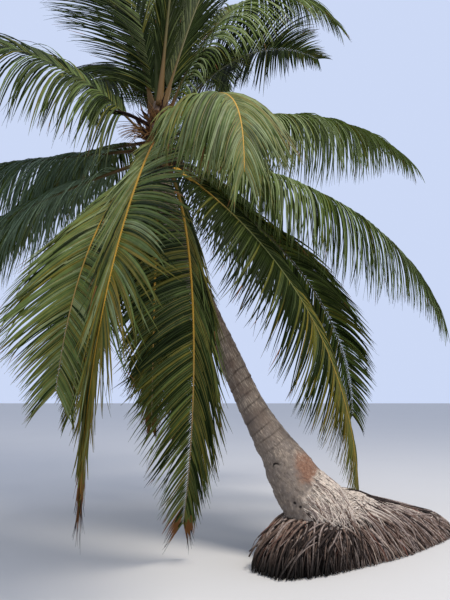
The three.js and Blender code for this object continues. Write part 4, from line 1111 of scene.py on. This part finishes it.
def build_husks(crown):
    """Woody boat-shaped sheaths of old flower stalks, each with its dry twigs."""
    materials = [root_material("husk_wood", crown.husk), root_material("husk_twig", crown.twig)]
    for order, husk in enumerate(HUSKS):
        rng = np.random.default_rng(70 + order)
        heading = level_heading(np.radians(husk.azimuth))
        side = -left_of(heading)
        walk = np.linspace(0, 1, HUSK_STEPS + 1)
        slope = np.radians(husk.rise - HUSK_DROOP * walk)
        forward = heading * np.cos(slope)[:, None] + UP * np.sin(slope)[:, None]
        reach = (HUSK_LENGTH + HUSK_REACH_IN) / HUSK_STEPS
        centre = crown_point(husk.seat) + np.vstack([np.zeros(3), np.cumsum(forward[:-1] * reach, axis=0)])
        size = np.interp(walk, (0, 0.25, 0.6, 0.85, 1), (0.35, 0.8, 1, 0.55, 0.05))
        up = np.cross(side, forward)
        turn = round_turns(HUSK_SIDES)
        ribs = 1 + 0.05 * np.cos(turn * HUSK_RIDGES)
        hollow = np.where(np.sin(turn) < 0, 0.25, 1.0)
        across = np.cos(turn) * ribs * HUSK_WIDTH / 2
        raised = np.sin(turn) * ribs * hollow * HUSK_DEPTH / 2
        shell = (centre[:, None] + side * (across[:, None] * size[:, None, None])
                 + up[:, None] * (raised[:, None] * size[:, None, None]))
        parts = Collector()
        parts.add(shell.reshape(-1, 3), closed_skin(shell, flip=True))
        parts.add(*flower_twigs(husk, heading, side, rng), picks=1)
        parts.piece(husk.name + "_shell", materials, "husk", [husk.name])


def flower_twigs(husk, heading, side, rng):
    """Thin dry twigs that spread from one old flower stalk."""
    walk = np.linspace(0, 1, TWIG_STATIONS)
    spread = rng.normal(0, 0.3, TWIGS)[:, None]
    rise = np.radians(husk.rise - 12 + rng.normal(0, 16, TWIGS))[:, None] - walk * 1.1
    length = rng.uniform(0.28, 0.5, TWIGS)[:, None]
    away = np.cos(rise)[..., None] * (heading + side * spread[..., None])
    step = (away + UP * np.sin(rise)[..., None]) * (length / TWIG_STATIONS)[..., None]
    start = crown_point(husk.seat - 0.05) + heading * 0.1
    lines = start + np.cumsum(step, axis=1)
    radius = rng.uniform(0.002, 0.0045, (TWIGS, 1)) * np.linspace(1.2, 0.5, TWIG_STATIONS)
    return tubes(lines, radius, TWIG_SIDES)


def build_spear(crown):
    """Young leaf, still folded: a bundle of pleats that narrows to its point."""
    tip_height, *tip_place, _ = TRUNK_STATIONS[-1]
    walk = np.linspace(0, 1, SPEAR_RINGS)
    size = np.interp(walk, (0, 0.12, 0.5, 0.85, 1), (0.9, 1, 0.78, 0.36, 0.04)) * SPEAR_RADIUS
    drift = np.stack([SPEAR_DRIFT[0] * walk ** 2, SPEAR_DRIFT[1] * walk, SPEAR_LENGTH * walk], axis=1)
    centre = np.array([*tip_place, tip_height]) + drift
    pleat = 1 - SPEAR_PLEAT * (np.arange(SPEAR_SIDES) % 2)
    twist = round_turns(SPEAR_SIDES) + walk[:, None] * SPEAR_TWIST
    rings = centre[:, None] + level_heading(twist) * pleat[:, None] * size[:, None, None]
    parts = Collector()
    parts.add(rings.reshape(-1, 3), closed_skin(rings))
    material = leaf_material("young_leaf", crown.young, crown.young, 0.38)
    parts.piece("spear_pleats", [material], "young_leaf", ["spear_leaf"])


class Rib:
    """A frond's rib: where it runs and how thick it is, by the rule of the solids."""

    def __init__(self, frond):
        self.shares = np.linspace(0, 1, RIB_STEPS + 1)
        self.frond = frond
        outward = level_heading(np.radians(frond.azimuth))
        start = crown_point(frond.seat) + (STALK_START - STALK_START_TAPER * frond.seat) * outward
        middles = (self.shares[1:] + self.shares[:-1]) / 2
        steps = self.forward_at(middles) * frond.length / RIB_STEPS
        self.points = start + np.vstack([np.zeros(3), np.cumsum(steps, axis=0)])

    def forward_at(self, share):
        slope = np.radians(self.frond.rise - self.frond.bend * share ** self.frond.ease)
        return self.heading_at(share) * np.cos(slope)[..., None] + UP * np.sin(slope)[..., None]

    def heading_at(self, share):
        return level_heading(np.radians(self.frond.azimuth + self.frond.sweep * share ** self.frond.ease))

    def at(self, share):
        """Point, forward, side and up directions, width and height at shares of its length."""
        point = np.stack([np.interp(share, self.shares, self.points[:, i]) for i in range(3)], axis=-1)
        forward = self.forward_at(share)
        side = -left_of(self.heading_at(share))
        roll = math.radians(self.frond.roll)
        side = side * math.cos(roll) + np.cross(side, forward) * math.sin(roll)
        up = np.cross(side, forward)
        base, low, tip = RIB_WIDTHS
        taper = np.maximum((share - STALK_SHARE) / (1 - STALK_SHARE), 0)
        flare = np.maximum(1 - share / STALK_SHARE, 0)
        width = mix(low, tip, taper ** 0.7) + (base - low) * flare
        return point, forward, side, up, width, mix(*RIB_HEIGHTS, share ** 0.6)

    def mesh(self):
        """Rounded below and flat above, with a shallow channel at the stalk."""
        share = self.shares
        point, _, side, up, width, height = self.at(share)
        turn = round_turns(RIB_SIDES)
        channel = (1 - smoothstep(share, 0.0, 0.3))[:, None] * 0.5
        above = np.where(np.sin(turn) > 0, 0.7 - channel * np.sin(turn) ** 3, 1.0)
        across = np.cos(turn) * width[:, None] / 2
        raised = np.sin(turn) * above * height[:, None] / 2
        rings = point[:, None] + side[:, None] * across[..., None] + up[:, None] * raised[..., None]
        return rings.reshape(-1, 3), closed_skin(rings, flip=True), np.repeat(share, RIB_SIDES)


def leaflet_length(share, first):
    """Share of the full leaflet length at a place along the rib. first is the share at the stalk."""
    place = (share - LEAFLET_START) / (1 - LEAFLET_START)
    rising = mix(first, 1, smoothstep(place, 0, LEAFLET_FULL[0]))
    return rising * mix(1, LEAFLET_SHORT, smoothstep(place, LEAFLET_FULL[1], 1))


def leaflet_age(frond, share):
    """How withered a leaflet is at a place along the rib."""
    return smoothstep(share, frond.dry - 0.08, frond.dry + 0.06)


def leaflet_angle(frond, share, way, gust, own):
    """How far leaflets point away from the rib, in radians."""
    cling = 1 - LEAFLET_CLING * smoothstep(share, frond.cling - 0.1, frond.cling + 0.05)
    spread = mix(*(frond.spread if way > 0 else frond.spread_back), share)
    angle = (mix(*LEAFLET_ANGLES, share) * spread + gust + own) * cling
    return np.radians(np.clip(angle, 3, LEAFLET_ANGLE_MOST))


def leaflet_hang(frond, share, way, gust, own):
    """How strongly leaflets bend down."""
    eased = mix(1, LEAFLET_HANG_TIP, smoothstep(share, LEAFLET_EASE_START, 1))
    return frond.hang[0 if way > 0 else 1] * eased * (1 + gust + own) + LEAFLET_HANG_LEAST


def leaflet_courses(frond, rib, way, leaf, rng):
    """Where the leaflets on one side of a frond run.

    Gives their shares of the way along the rib, points and forward directions along each, its direction
    across at its root, its size, the frond's upward direction there and how far the wind twists it.
    """
    count = int(leaf.count * frond.many)
    order = np.arange(count)
    place = order + 0.5 + rng.uniform(-LEAFLET_JITTER, LEAFLET_JITTER, count) + LEAFLET_STAGGER * way
    share = LEAFLET_START + (1 - LEAFLET_START) * np.clip(place / count, 0, 0.995)
    point, forward, side, up, width, height = rib.at(share)
    knots = np.linspace(0, count, GUST_KNOTS)
    gusts = [np.interp(order, knots, rng.normal(0, 1, GUST_KNOTS)) * strength for strength in GUSTS]
    own = [rng.normal(0, stray, count) for stray in LEAFLET_STRAYS]
    angle = leaflet_angle(frond, share, way, gusts[0], own[0])[:, None]
    raise_by = np.radians(LEAFLET_RAISE + gusts[1] + own[1])[:, None]
    away = side * way * np.cos(raise_by) + up * np.sin(raise_by)
    start = forward * np.cos(angle) + away * np.sin(angle)
    hang = leaflet_hang(frond, share, way, gusts[2], own[2])
    stray = rng.normal(0, leaf.stray, (count, 1, 3))
    size = leaflet_length(share, frond.first)
    length = leaf.length * size * frond.leaf * rng.uniform(0.88, 1.04, count)
    seat_across, seat_up = LEAFLET_SEAT
    root = point + side * (way * width * seat_across)[:, None] + up * (height * seat_up)[:, None]
    fall = np.array([-frond.blow, 0, -1.0])

    def direction(t):
        pull = hang[:, None] * (LEAFLET_HANG[0] + LEAFLET_HANG[1] * t)
        bent = start[:, None] + fall * pull[..., None]
        return unit(bent + stray * (np.linalg.norm(bent, axis=-1) * t ** 2)[..., None])

    stations = np.linspace(0, 1, LEAFLET_STEPS + 1)
    reach = np.cumsum(direction((stations[1:] + stations[:-1]) / 2), axis=1) / LEAFLET_STEPS
    low = root[:, 2] + (reach[..., 2] * length[:, None]).min(axis=1)
    fits = np.clip((root[:, 2] - LOWEST_LEAFLET) / np.maximum(root[:, 2] - low, 1e-6), 0.05, 1)
    length = np.where(low < LOWEST_LEAFLET, length * fits, length)
    points = root[:, None] + np.concatenate(
        [np.zeros((count, 1, 3)), reach * length[:, None, None]], axis=1)
    return share, points, direction(stations), forward, size, up, gusts[3]


def leaflet_shapes(frond, rib, way, leaf, rng):
    """Blades on one side of a frond: points by leaflet, station and place across, and their shares."""
    share, centre, tangent, across, size, up, gust = leaflet_courses(frond, rib, way, leaf, rng)
    stations = np.linspace(0, 1, LEAFLET_STEPS + 1)
    carried = []
    for here in np.moveaxis(tangent, 1, 0):
        across = unit(across - (across * here).sum(-1, keepdims=True) * here)
        carried.append(across)
    across = np.stack(carried, axis=1)
    over = np.cross(across, tangent)
    over = over * np.sign((over[:, 0] * up).sum(-1))[:, None, None]
    twist = (rng.normal(0, leaf.twist, len(share)) + np.radians(gust))[:, None] * stations ** 2.4
    twisted = across * np.cos(twist)[..., None] + over * np.sin(twist)[..., None]
    over = over * np.cos(twist)[..., None] - across * np.sin(twist)[..., None]
    profile = (0.5 + 0.5 * smoothstep(stations, 0, 0.16)) * (1 - stations ** 2.1) ** 0.9 + 0.02
    half = leaf.width / 2 * (0.4 + 0.6 * size) * rng.uniform(0.88, 1.1, len(share))
    threads = smoothstep(stations + 1.1 * leaflet_age(frond, share)[:, None], 1.5, 1.75)
    half = half[:, None] * profile * (1 - 0.65 * threads)
    fold = mix(leaf.fold, leaf.fold * 0.5, stations)
    flat = (half * np.cos(fold))[..., None] * twisted
    sunk = (half * np.sin(fold))[..., None] * over
    midrib = (MIDRIB_HALF_WIDTH * (0.3 + 0.7 * profile))[:, None] * twisted
    raised = centre + MIDRIB_RAISE * over
    blades = np.stack([centre - flat - sunk, raised - midrib, raised + midrib, centre + flat - sunk], axis=2)
    return blades, share


def leaflet_picks(frond, share, leaf, rng):
    """Material of each face of the leaflets, by leaflet, station and strip."""
    count = len(share)
    inner, outer = (np.array(GREENS[key]) for key in (frond.greens, frond.tip_greens))
    toward_tip = smoothstep(share, 0.35, 0.9)[:, None]
    weights = mix(inner, outer, toward_tip).cumsum(axis=1)
    weights /= weights[:, -1:]
    chosen = (weights < rng.uniform(0, 1, (count, 1))).sum(axis=1)
    finish = {name: i for i, name in enumerate(LEAF_FINISHES)}
    picks = np.repeat(np.repeat(chosen[:, None, None], LEAFLET_STEPS, axis=1), 3, axis=2)
    golden = (frond.rib in ("orange", "gold")) & (rng.uniform(0, 1, count) < 0.45)
    midrib = np.where(golden, finish["midrib_gold"], finish["midrib"])
    # Leaflets painted dark as shade keep a deep green midrib instead of a pale one
    picks[:, :, 1] = np.where(chosen == finish["dark"], finish["deep"], midrib)[:, None]
    station = (np.arange(LEAFLET_STEPS) + 0.5) / LEAFLET_STEPS
    old = leaflet_age(frond, share) + rng.normal(0, 0.12, count)
    tip_dry = rng.uniform(0, 1, count) < leaf.dry_tips
    withered = station[None, :] > np.where(tip_dry, rng.uniform(0.78, 0.97, count), 2.0)[:, None]
    withered |= station[None, :] > (1.35 - 1.2 * old)[:, None]
    dead = station[None, :] > (1.7 - 1.1 * old)[:, None]
    picks[withered] = finish["rust"]
    picks[dead & withered] = finish["dead"]
    return picks


def leaf_materials(leaf):
    """The materials of LEAF_FINISHES: the greens, the two midribs and two kinds of dry leaf."""
    glow = {"mid": leaf.glow, "deep": leaf.glow_deep, "blue": leaf.glow_deep, "olive": leaf.glow_warm,
            "gold": leaf.glow_warm, "pale": leaf.glow, "dark": leaf.dark}
    made = [leaf_material("leaf_" + key, getattr(leaf, key), glow[key], 0.46, 0.05 if key == "dark" else 0.14)
            for key in LEAF_COLOURS]
    made.append(leaf_material("midrib_green", leaf.midrib, leaf.glow))
    made.append(leaf_material("midrib_gold", leaf.midrib_gold, leaf.glow_warm))
    made.append(leaf_material("leaf_rust", leaf.rust, leaf.rust, 0.6))
    made.append(leaf_material("leaf_dead", leaf.dead, leaf.dead, 0.7))
    return made


def build_fronds(leaf):
    """Every frond: its rib as one piece and its leaflets as another."""
    materials = leaf_materials(leaf)
    ribs = {
        "grey": rib_material("rib_grey", leaf.rib_base, leaf.rib_grey, leaf.rib_grey),
        "brown": rib_material("rib_brown", leaf.rib_base, leaf.rib_brown, leaf.rib_brown),
        "green": rib_material("rib_green", leaf.rib_base, leaf.rib_green, leaf.rib_green),
        "olive": rib_material("rib_olive", leaf.rib_gold, leaf.rib_green, leaf.rib_gold),
        "gold": rib_material("rib_gold", leaf.rib_base, leaf.rib_gold, leaf.rib_pale),
        "orange": rib_material("rib_orange", leaf.rib_orange, leaf.rib_gold, leaf.rib_gold),
    }
    for order, frond in enumerate(FRONDS):
        rng = np.random.default_rng(100 + order)
        rib = Rib(frond)
        nodes = [f"frond_{frond.name}{end}" for end in ("", "_tip")]
        nodes = [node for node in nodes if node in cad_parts]
        parts = Collector()
        points, faces, along = rib.mesh()
        parts.add(points, faces, along=along)
        parts.piece(f"frond_{frond.name}_rib", [ribs[frond.rib]], "leaf", nodes)
        leaves = Collector()
        for way in (1, -1):
            blades, share = leaflet_shapes(frond, rib, way, leaf, rng)
            picks = leaflet_picks(frond, share, leaf, rng)
            leaves.add(blades.reshape(-1, 3), [strip_faces(blades)], [picks.ravel()])
        leaves.piece(f"frond_{frond.name}_leaflets", materials, "leaf", nodes)


def build_floor(stage):
    """Pale floor at ground level."""
    mesh = bpy.data.meshes.new("floor")
    half = stage.floor_size / 2
    corners = [(-half, -half, 0), (half, -half, 0), (half, half, 0), (-half, half, 0)]
    mesh.from_pydata(corners, [], [(0, 1, 2, 3)])
    recipe = Recipe("floor_pale")
    soft = recipe.noise(recipe.place(), 0.6, 2.0)
    colour = recipe.blend(soft, *varied(stage.floor, 0.02))
    mesh.materials.append(recipe.finish(colour, 0.9, specular=0.1))
    link("floor", mesh)


def build_lamp(name, place, size, power):
    """Round soft lamp, turned to the middle of the palm."""
    data = bpy.data.lights.new(name, "AREA")
    data.shape = "DISK"
    data.size = size
    data.energy = power
    data.color = LAMP_COLOUR
    lamp = link(name, data)
    lamp.location = place
    aim = np.array(LAMP_AIM) - np.array(place)
    lamp.rotation_euler = (math.atan2(math.hypot(aim[0], aim[1]), -aim[2]), 0,
                           math.atan2(aim[1], aim[0]) - math.pi / 2)


def build_stage(stage):
    """Floor, lamps, a pale surround and the camera."""
    build_floor(stage)
    build_lamp("key_light", stage.key_place, stage.key_size, stage.key_power)
    build_lamp("fill_light", stage.fill_place, stage.fill_size, stage.fill_power)

    world = bpy.data.worlds.new("surround")
    world.use_nodes = True
    background = world.node_tree.nodes["Background"]
    background.inputs["Color"].default_value = (*stage.surround, 1.0)
    background.inputs["Strength"].default_value = stage.surround_power
    bpy.context.scene.world = world

    camera = bpy.data.cameras.new("camera")
    camera.lens = CAMERA_LENS
    camera.sensor_width = CAMERA_SENSOR
    camera.clip_end = CAMERA_REACH
    seat = link("camera", camera)
    seat.location = CAMERA_PLACE
    seat.rotation_euler = (math.radians(90 + CAMERA_PITCH), 0, 0)
    bpy.context.scene.camera = seat
    bpy.context.scene.view_settings.view_transform = "Standard"


def count_property(name, description, default):
    return bpy.props.IntProperty(name=name, description=description, default=default, min=1)


def number_property(name, description, default, **kind):
    return bpy.props.FloatProperty(name=name, description=description, default=default, min=0, **kind)


def share_property(name, description, default):
    return number_property(name, description, default, max=1, subtype="FACTOR")


def angle_property(name, description, degrees):
    return number_property(name, description, math.radians(degrees), subtype="ANGLE", unit="ROTATION")


def power_property(name, description, default):
    return number_property(name, description, default, subtype="POWER", unit="POWER")


def length_property(name, description, default):
    return number_property(name, description, default, subtype="DISTANCE", unit="LENGTH")


def colour_property(name, description, red, green, blue):
    return bpy.props.FloatVectorProperty(
        name=name, description=description, default=paint(red, green, blue), subtype="COLOR",
        size=3, min=0, max=1)


def place_property(name, description, default):
    return bpy.props.FloatVectorProperty(
        name=name, description=description, default=default, subtype="TRANSLATION", unit="LENGTH", size=3)


class PalmBarkSettings(bpy.types.PropertyGroup):
    """Relief and colours of the trunk's bark."""

    scar_spacing: length_property("Scar spacing", "Distance between leaf scars", 0.125)
    scar_depth: length_property("Scar depth", "How deep a leaf scar is", 0.006)
    brown: colour_property("Brown", "Upper bark", 110, 93, 80)
    grey: colour_property("Grey", "Weathered bark", 128, 115, 102)
    foot: colour_property("Foot", "Bark near the ground", 122, 111, 101)
    fissure: colour_property("Fissure", "Fine pale upright splits", 196, 178, 156)
    worn: colour_property("Worn", "Reddish patch where bark is gone", 150, 106, 80)
    worn_dark: colour_property("Dark worn", "Hollows of the worn patch", 104, 66, 46)
    crack: colour_property("Crack", "Cracks and scars", 58, 46, 40)
    # Pit is painted shade: the near-black colour inside the pits and the old wound's rim
    pit: colour_property("Pit", "Holes in the foot", 34, 27, 23)
    shade: colour_property("Shade", "Foot of the trunk behind the roots", 24, 19, 17)
    fibre_low: colour_property("Low fibre", "Hollows of the root fibre on the trunk", 128, 112, 100)
    fibre_high: colour_property("High fibre", "Root fibre on the trunk", 190, 176, 160)


class PalmRootSettings(bpy.types.PropertyGroup):
    """Numbers, thickness and colours of the bare roots."""

    count: count_property("Roots", "Roots in the skirt", 1500)
    bole_count: count_property("Bole roots", "Roots on the bole", 1300)
    flank_count: count_property("Flank roots", "Roots that lie on the trunk's flank", 900)
    radius: length_property("Root radius", "Middling radius of a root", 0.0082)
    bole: colour_property("Bole", "Pale fibre and roots of the bole", 202, 188, 172)
    # Bole cracks is painted shade: the colour in the hollows of the bole's relief
    bole_hollow_shade: colour_property("Bole cracks", "Hollows of the bole", 104, 88, 76)
    pale: colour_property("Pale", "Palest roots", 176, 158, 142)
    grey: colour_property("Grey", "Grey roots", 142, 126, 116)
    brown: colour_property("Brown", "Brown roots", 112, 92, 80)
    red: colour_property("Red", "Reddish roots", 120, 84, 70)
    # Dark: a dark root tone, and also the kind that paints shade at the skirt's left end and in its layers
    # behind
    dark: colour_property("Dark", "Wet and shaded roots", 50, 40, 35)
    # Black is painted shade: the colour of the closed sheet inside the hanging roots
    core_shade: colour_property("Black", "Heart of the root mass", 24, 19, 17)


class PalmCrownSettings(bpy.types.PropertyGroup):
    """Fibre, husks and young leaf at the heart of the crown."""

    fibre_count: count_property("Fibres", "Loose fibres", 1100)
    flap_count: count_property("Flaps", "Torn ends of old sheaths", 150)
    fibre: colour_property("Fibre", "Brown fibre", 104, 72, 44)
    fibre_dark: colour_property("Dark fibre", "Fibre in shade", 54, 38, 27)
    husk: colour_property("Husk", "Old flower sheaths", 42, 27, 22)
    twig: colour_property("Twig", "Dry flower twigs", 120, 88, 52)
    young: colour_property("Young leaf", "Folded young leaf", 62, 70, 32)


class PalmLeafSettings(bpy.types.PropertyGroup):
    """Sizes and colours of the fronds."""

    count: count_property("Leaflets", "Leaflets on each side of a frond", 165)
    length: length_property("Leaflet length", "Length of the longest leaflets", 1.13)
    width: length_property("Leaflet width", "Widest place of a leaflet", 0.031)
    fold: angle_property("Fold", "Slope of each half of a leaflet", 20)
    twist: angle_property("Twist", "How far leaflets twist by their tips", 40)
    stray: share_property("Stray", "How far leaflets stray from their neighbours by their tips", 0.12)
    dry_tips: share_property("Dry tips", "Share of leaflets with a brown tip", 0.07)
    mid: colour_property("Mid green", "Most leaflets", 86, 102, 50)
    deep: colour_property("Deep green", "Older leaflets", 48, 60, 20)
    blue: colour_property("Blue green", "Leaflets in shade", 124, 146, 120)
    olive: colour_property("Olive", "Yellowing leaflets", 90, 88, 24)
    gold: colour_property("Gold", "Yellow leaflets", 114, 98, 28)
    # Pale green is a painted sheen: the lighter colour of top-lit leaflets where sky light reflects off them
    pale: colour_property("Pale green", "Leaflets with a bloom", 122, 134, 92)
    # Dark green is painted shade: the colour of leaflets that stand in shade against the light
    dark: colour_property("Dark green", "Leaflets against the light", 22, 31, 5)
    rust: colour_property("Rust", "Dry tips", 112, 74, 38)
    dead: colour_property("Dead", "Dead tips", 40, 30, 24)
    midrib: colour_property("Midrib", "Midribs of green leaflets", 92, 98, 50)
    midrib_gold: colour_property("Gold midrib", "Midribs of yellowing leaflets", 124, 112, 50)
    glow: colour_property("Glow", "Light through a leaflet", 84, 104, 22)
    glow_deep: colour_property("Deep glow", "Light through a dark leaflet", 44, 60, 16)
    glow_warm: colour_property("Warm glow", "Light through a yellow leaflet", 104, 92, 16)
    rib_base: colour_property("Stalk", "Foot of a stalk", 88, 66, 32)
    rib_grey: colour_property("Grey rib", "Ribs of upright fronds", 78, 76, 44)
    rib_brown: colour_property("Brown rib", "Ribs of dark fronds", 70, 68, 32)
    rib_green: colour_property("Green rib", "Ribs of green fronds", 88, 94, 46)
    rib_gold: colour_property("Gold rib", "Ribs of yellowing fronds", 176, 134, 40)
    rib_pale: colour_property("Pale rib", "Outer end of yellowing ribs", 128, 112, 78)
    rib_orange: colour_property("Orange rib", "Stalks of the front fronds", 186, 118, 32)


class PalmStageSettings(bpy.types.PropertyGroup):
    """Floor, surround and lights."""

    floor_size: length_property("Floor size", "Side of the floor", 120)
    floor: colour_property("Floor", "Floor", 204, 201, 196)
    surround: colour_property("Surround", "Pale surround", 208, 221, 250)
    surround_power: number_property("Surround power", "Brightness of the surround", 0.96)
    key_place: place_property("Key place", "Where the main light is", (3.5, -3.5, 13.0))
    key_size: length_property("Key size", "Width of the main light", 4.0)
    key_power: power_property("Key power", "Power of the main light", 1500)
    fill_place: place_property("Fill place", "Where the second light is", (-7.0, -8.0, 7.0))
    fill_size: length_property("Fill size", "Width of the second light", 6.0)
    fill_power: power_property("Fill power", "Power of the second light", 190)


class PalmTrunkOperator(bpy.types.Operator):
    """Cover the trunk with bark"""

    bl_idname = "palm.trunk"
    bl_label = "Trunk"

    def execute(self, context):
        build_trunk(context.scene.palm_bark)
        return {"FINISHED"}


class PalmBoleOperator(bpy.types.Operator):
    """Build the pale bole beside the trunk and the dead roots on it"""

    bl_idname = "palm.bole"
    bl_label = "Bole"

    def execute(self, context):
        build_bole(context.scene.palm_roots)
        return {"FINISHED"}


class PalmRootsOperator(bpy.types.Operator):
    """Hang the skirt of bare roots"""

    bl_idname = "palm.roots"
    bl_label = "Roots"

    def execute(self, context):
        build_skirt(context.scene.palm_roots)
        return {"FINISHED"}


class PalmSheathOperator(bpy.types.Operator):
    """Wrap the top of the trunk in fibre"""

    bl_idname = "palm.sheath"
    bl_label = "Fibre"

    def execute(self, context):
        build_sheath(context.scene.palm_crown)
        build_fibres(context.scene.palm_crown)
        build_flaps(context.scene.palm_crown)
        return {"FINISHED"}


class PalmHusksOperator(bpy.types.Operator):
    """Build the old flower sheaths and their twigs"""

    bl_idname = "palm.husks"
    bl_label = "Husks"

    def execute(self, context):
        build_husks(context.scene.palm_crown)
        return {"FINISHED"}


class PalmSpearOperator(bpy.types.Operator):
    """Build the folded young leaf"""

    bl_idname = "palm.spear"
    bl_label = "Young leaf"

    def execute(self, context):
        build_spear(context.scene.palm_crown)
        return {"FINISHED"}


class PalmFrondsOperator(bpy.types.Operator):
    """Build the ribs and leaflets of every frond"""

    bl_idname = "palm.fronds"
    bl_label = "Fronds"

    def execute(self, context):
        build_fronds(context.scene.palm_leaf)
        return {"FINISHED"}


class PalmStageOperator(bpy.types.Operator):
    """Lay the floor and set up the lights and the camera"""

    bl_idname = "palm.stage"
    bl_label = "Stage"

    def execute(self, context):
        build_stage(context.scene.palm_stage)
        return {"FINISHED"}


SETTINGS = {
    "palm_bark": PalmBarkSettings,
    "palm_roots": PalmRootSettings,
    "palm_crown": PalmCrownSettings,
    "palm_leaf": PalmLeafSettings,
    "palm_stage": PalmStageSettings,
}
OPERATORS = (
    PalmStageOperator,
    PalmTrunkOperator,
    PalmBoleOperator,
    PalmRootsOperator,
    PalmSheathOperator,
    PalmHusksOperator,
    PalmSpearOperator,
    PalmFrondsOperator,
)


class PalmPanel(bpy.types.Panel):
    """Lists the palm's sizes and colours and the operators that build its pieces"""

    bl_idname = "VIEW3D_PT_palm"
    bl_label = "Coconut palm"
    bl_space_type = "VIEW_3D"
    bl_region_type = "UI"
    bl_category = "Palm"

    def draw(self, context):
        for operator in OPERATORS:
            self.layout.operator(operator.bl_idname)
        for key, group in SETTINGS.items():
            box = self.layout.box()
            box.label(text=group.__doc__)
            for name in group.__annotations__:
                box.prop(getattr(context.scene, key), name)


def register():
    for group in (*SETTINGS.values(), *OPERATORS, PalmPanel):
        bpy.utils.register_class(group)
    for key, group in SETTINGS.items():
        setattr(bpy.types.Scene, key, bpy.props.PointerProperty(type=group))


def unregister():
    for key in SETTINGS:
        delattr(bpy.types.Scene, key)
    for group in reversed((*SETTINGS.values(), *OPERATORS, PalmPanel)):
        bpy.utils.unregister_class(group)


def main():
    """Registers the add-on and builds every piece."""
    register()
    for operator in OPERATORS:
        family, action = operator.bl_idname.split(".")
        getattr(getattr(bpy.ops, family), action)()


if __name__ == "__main__":
    main()
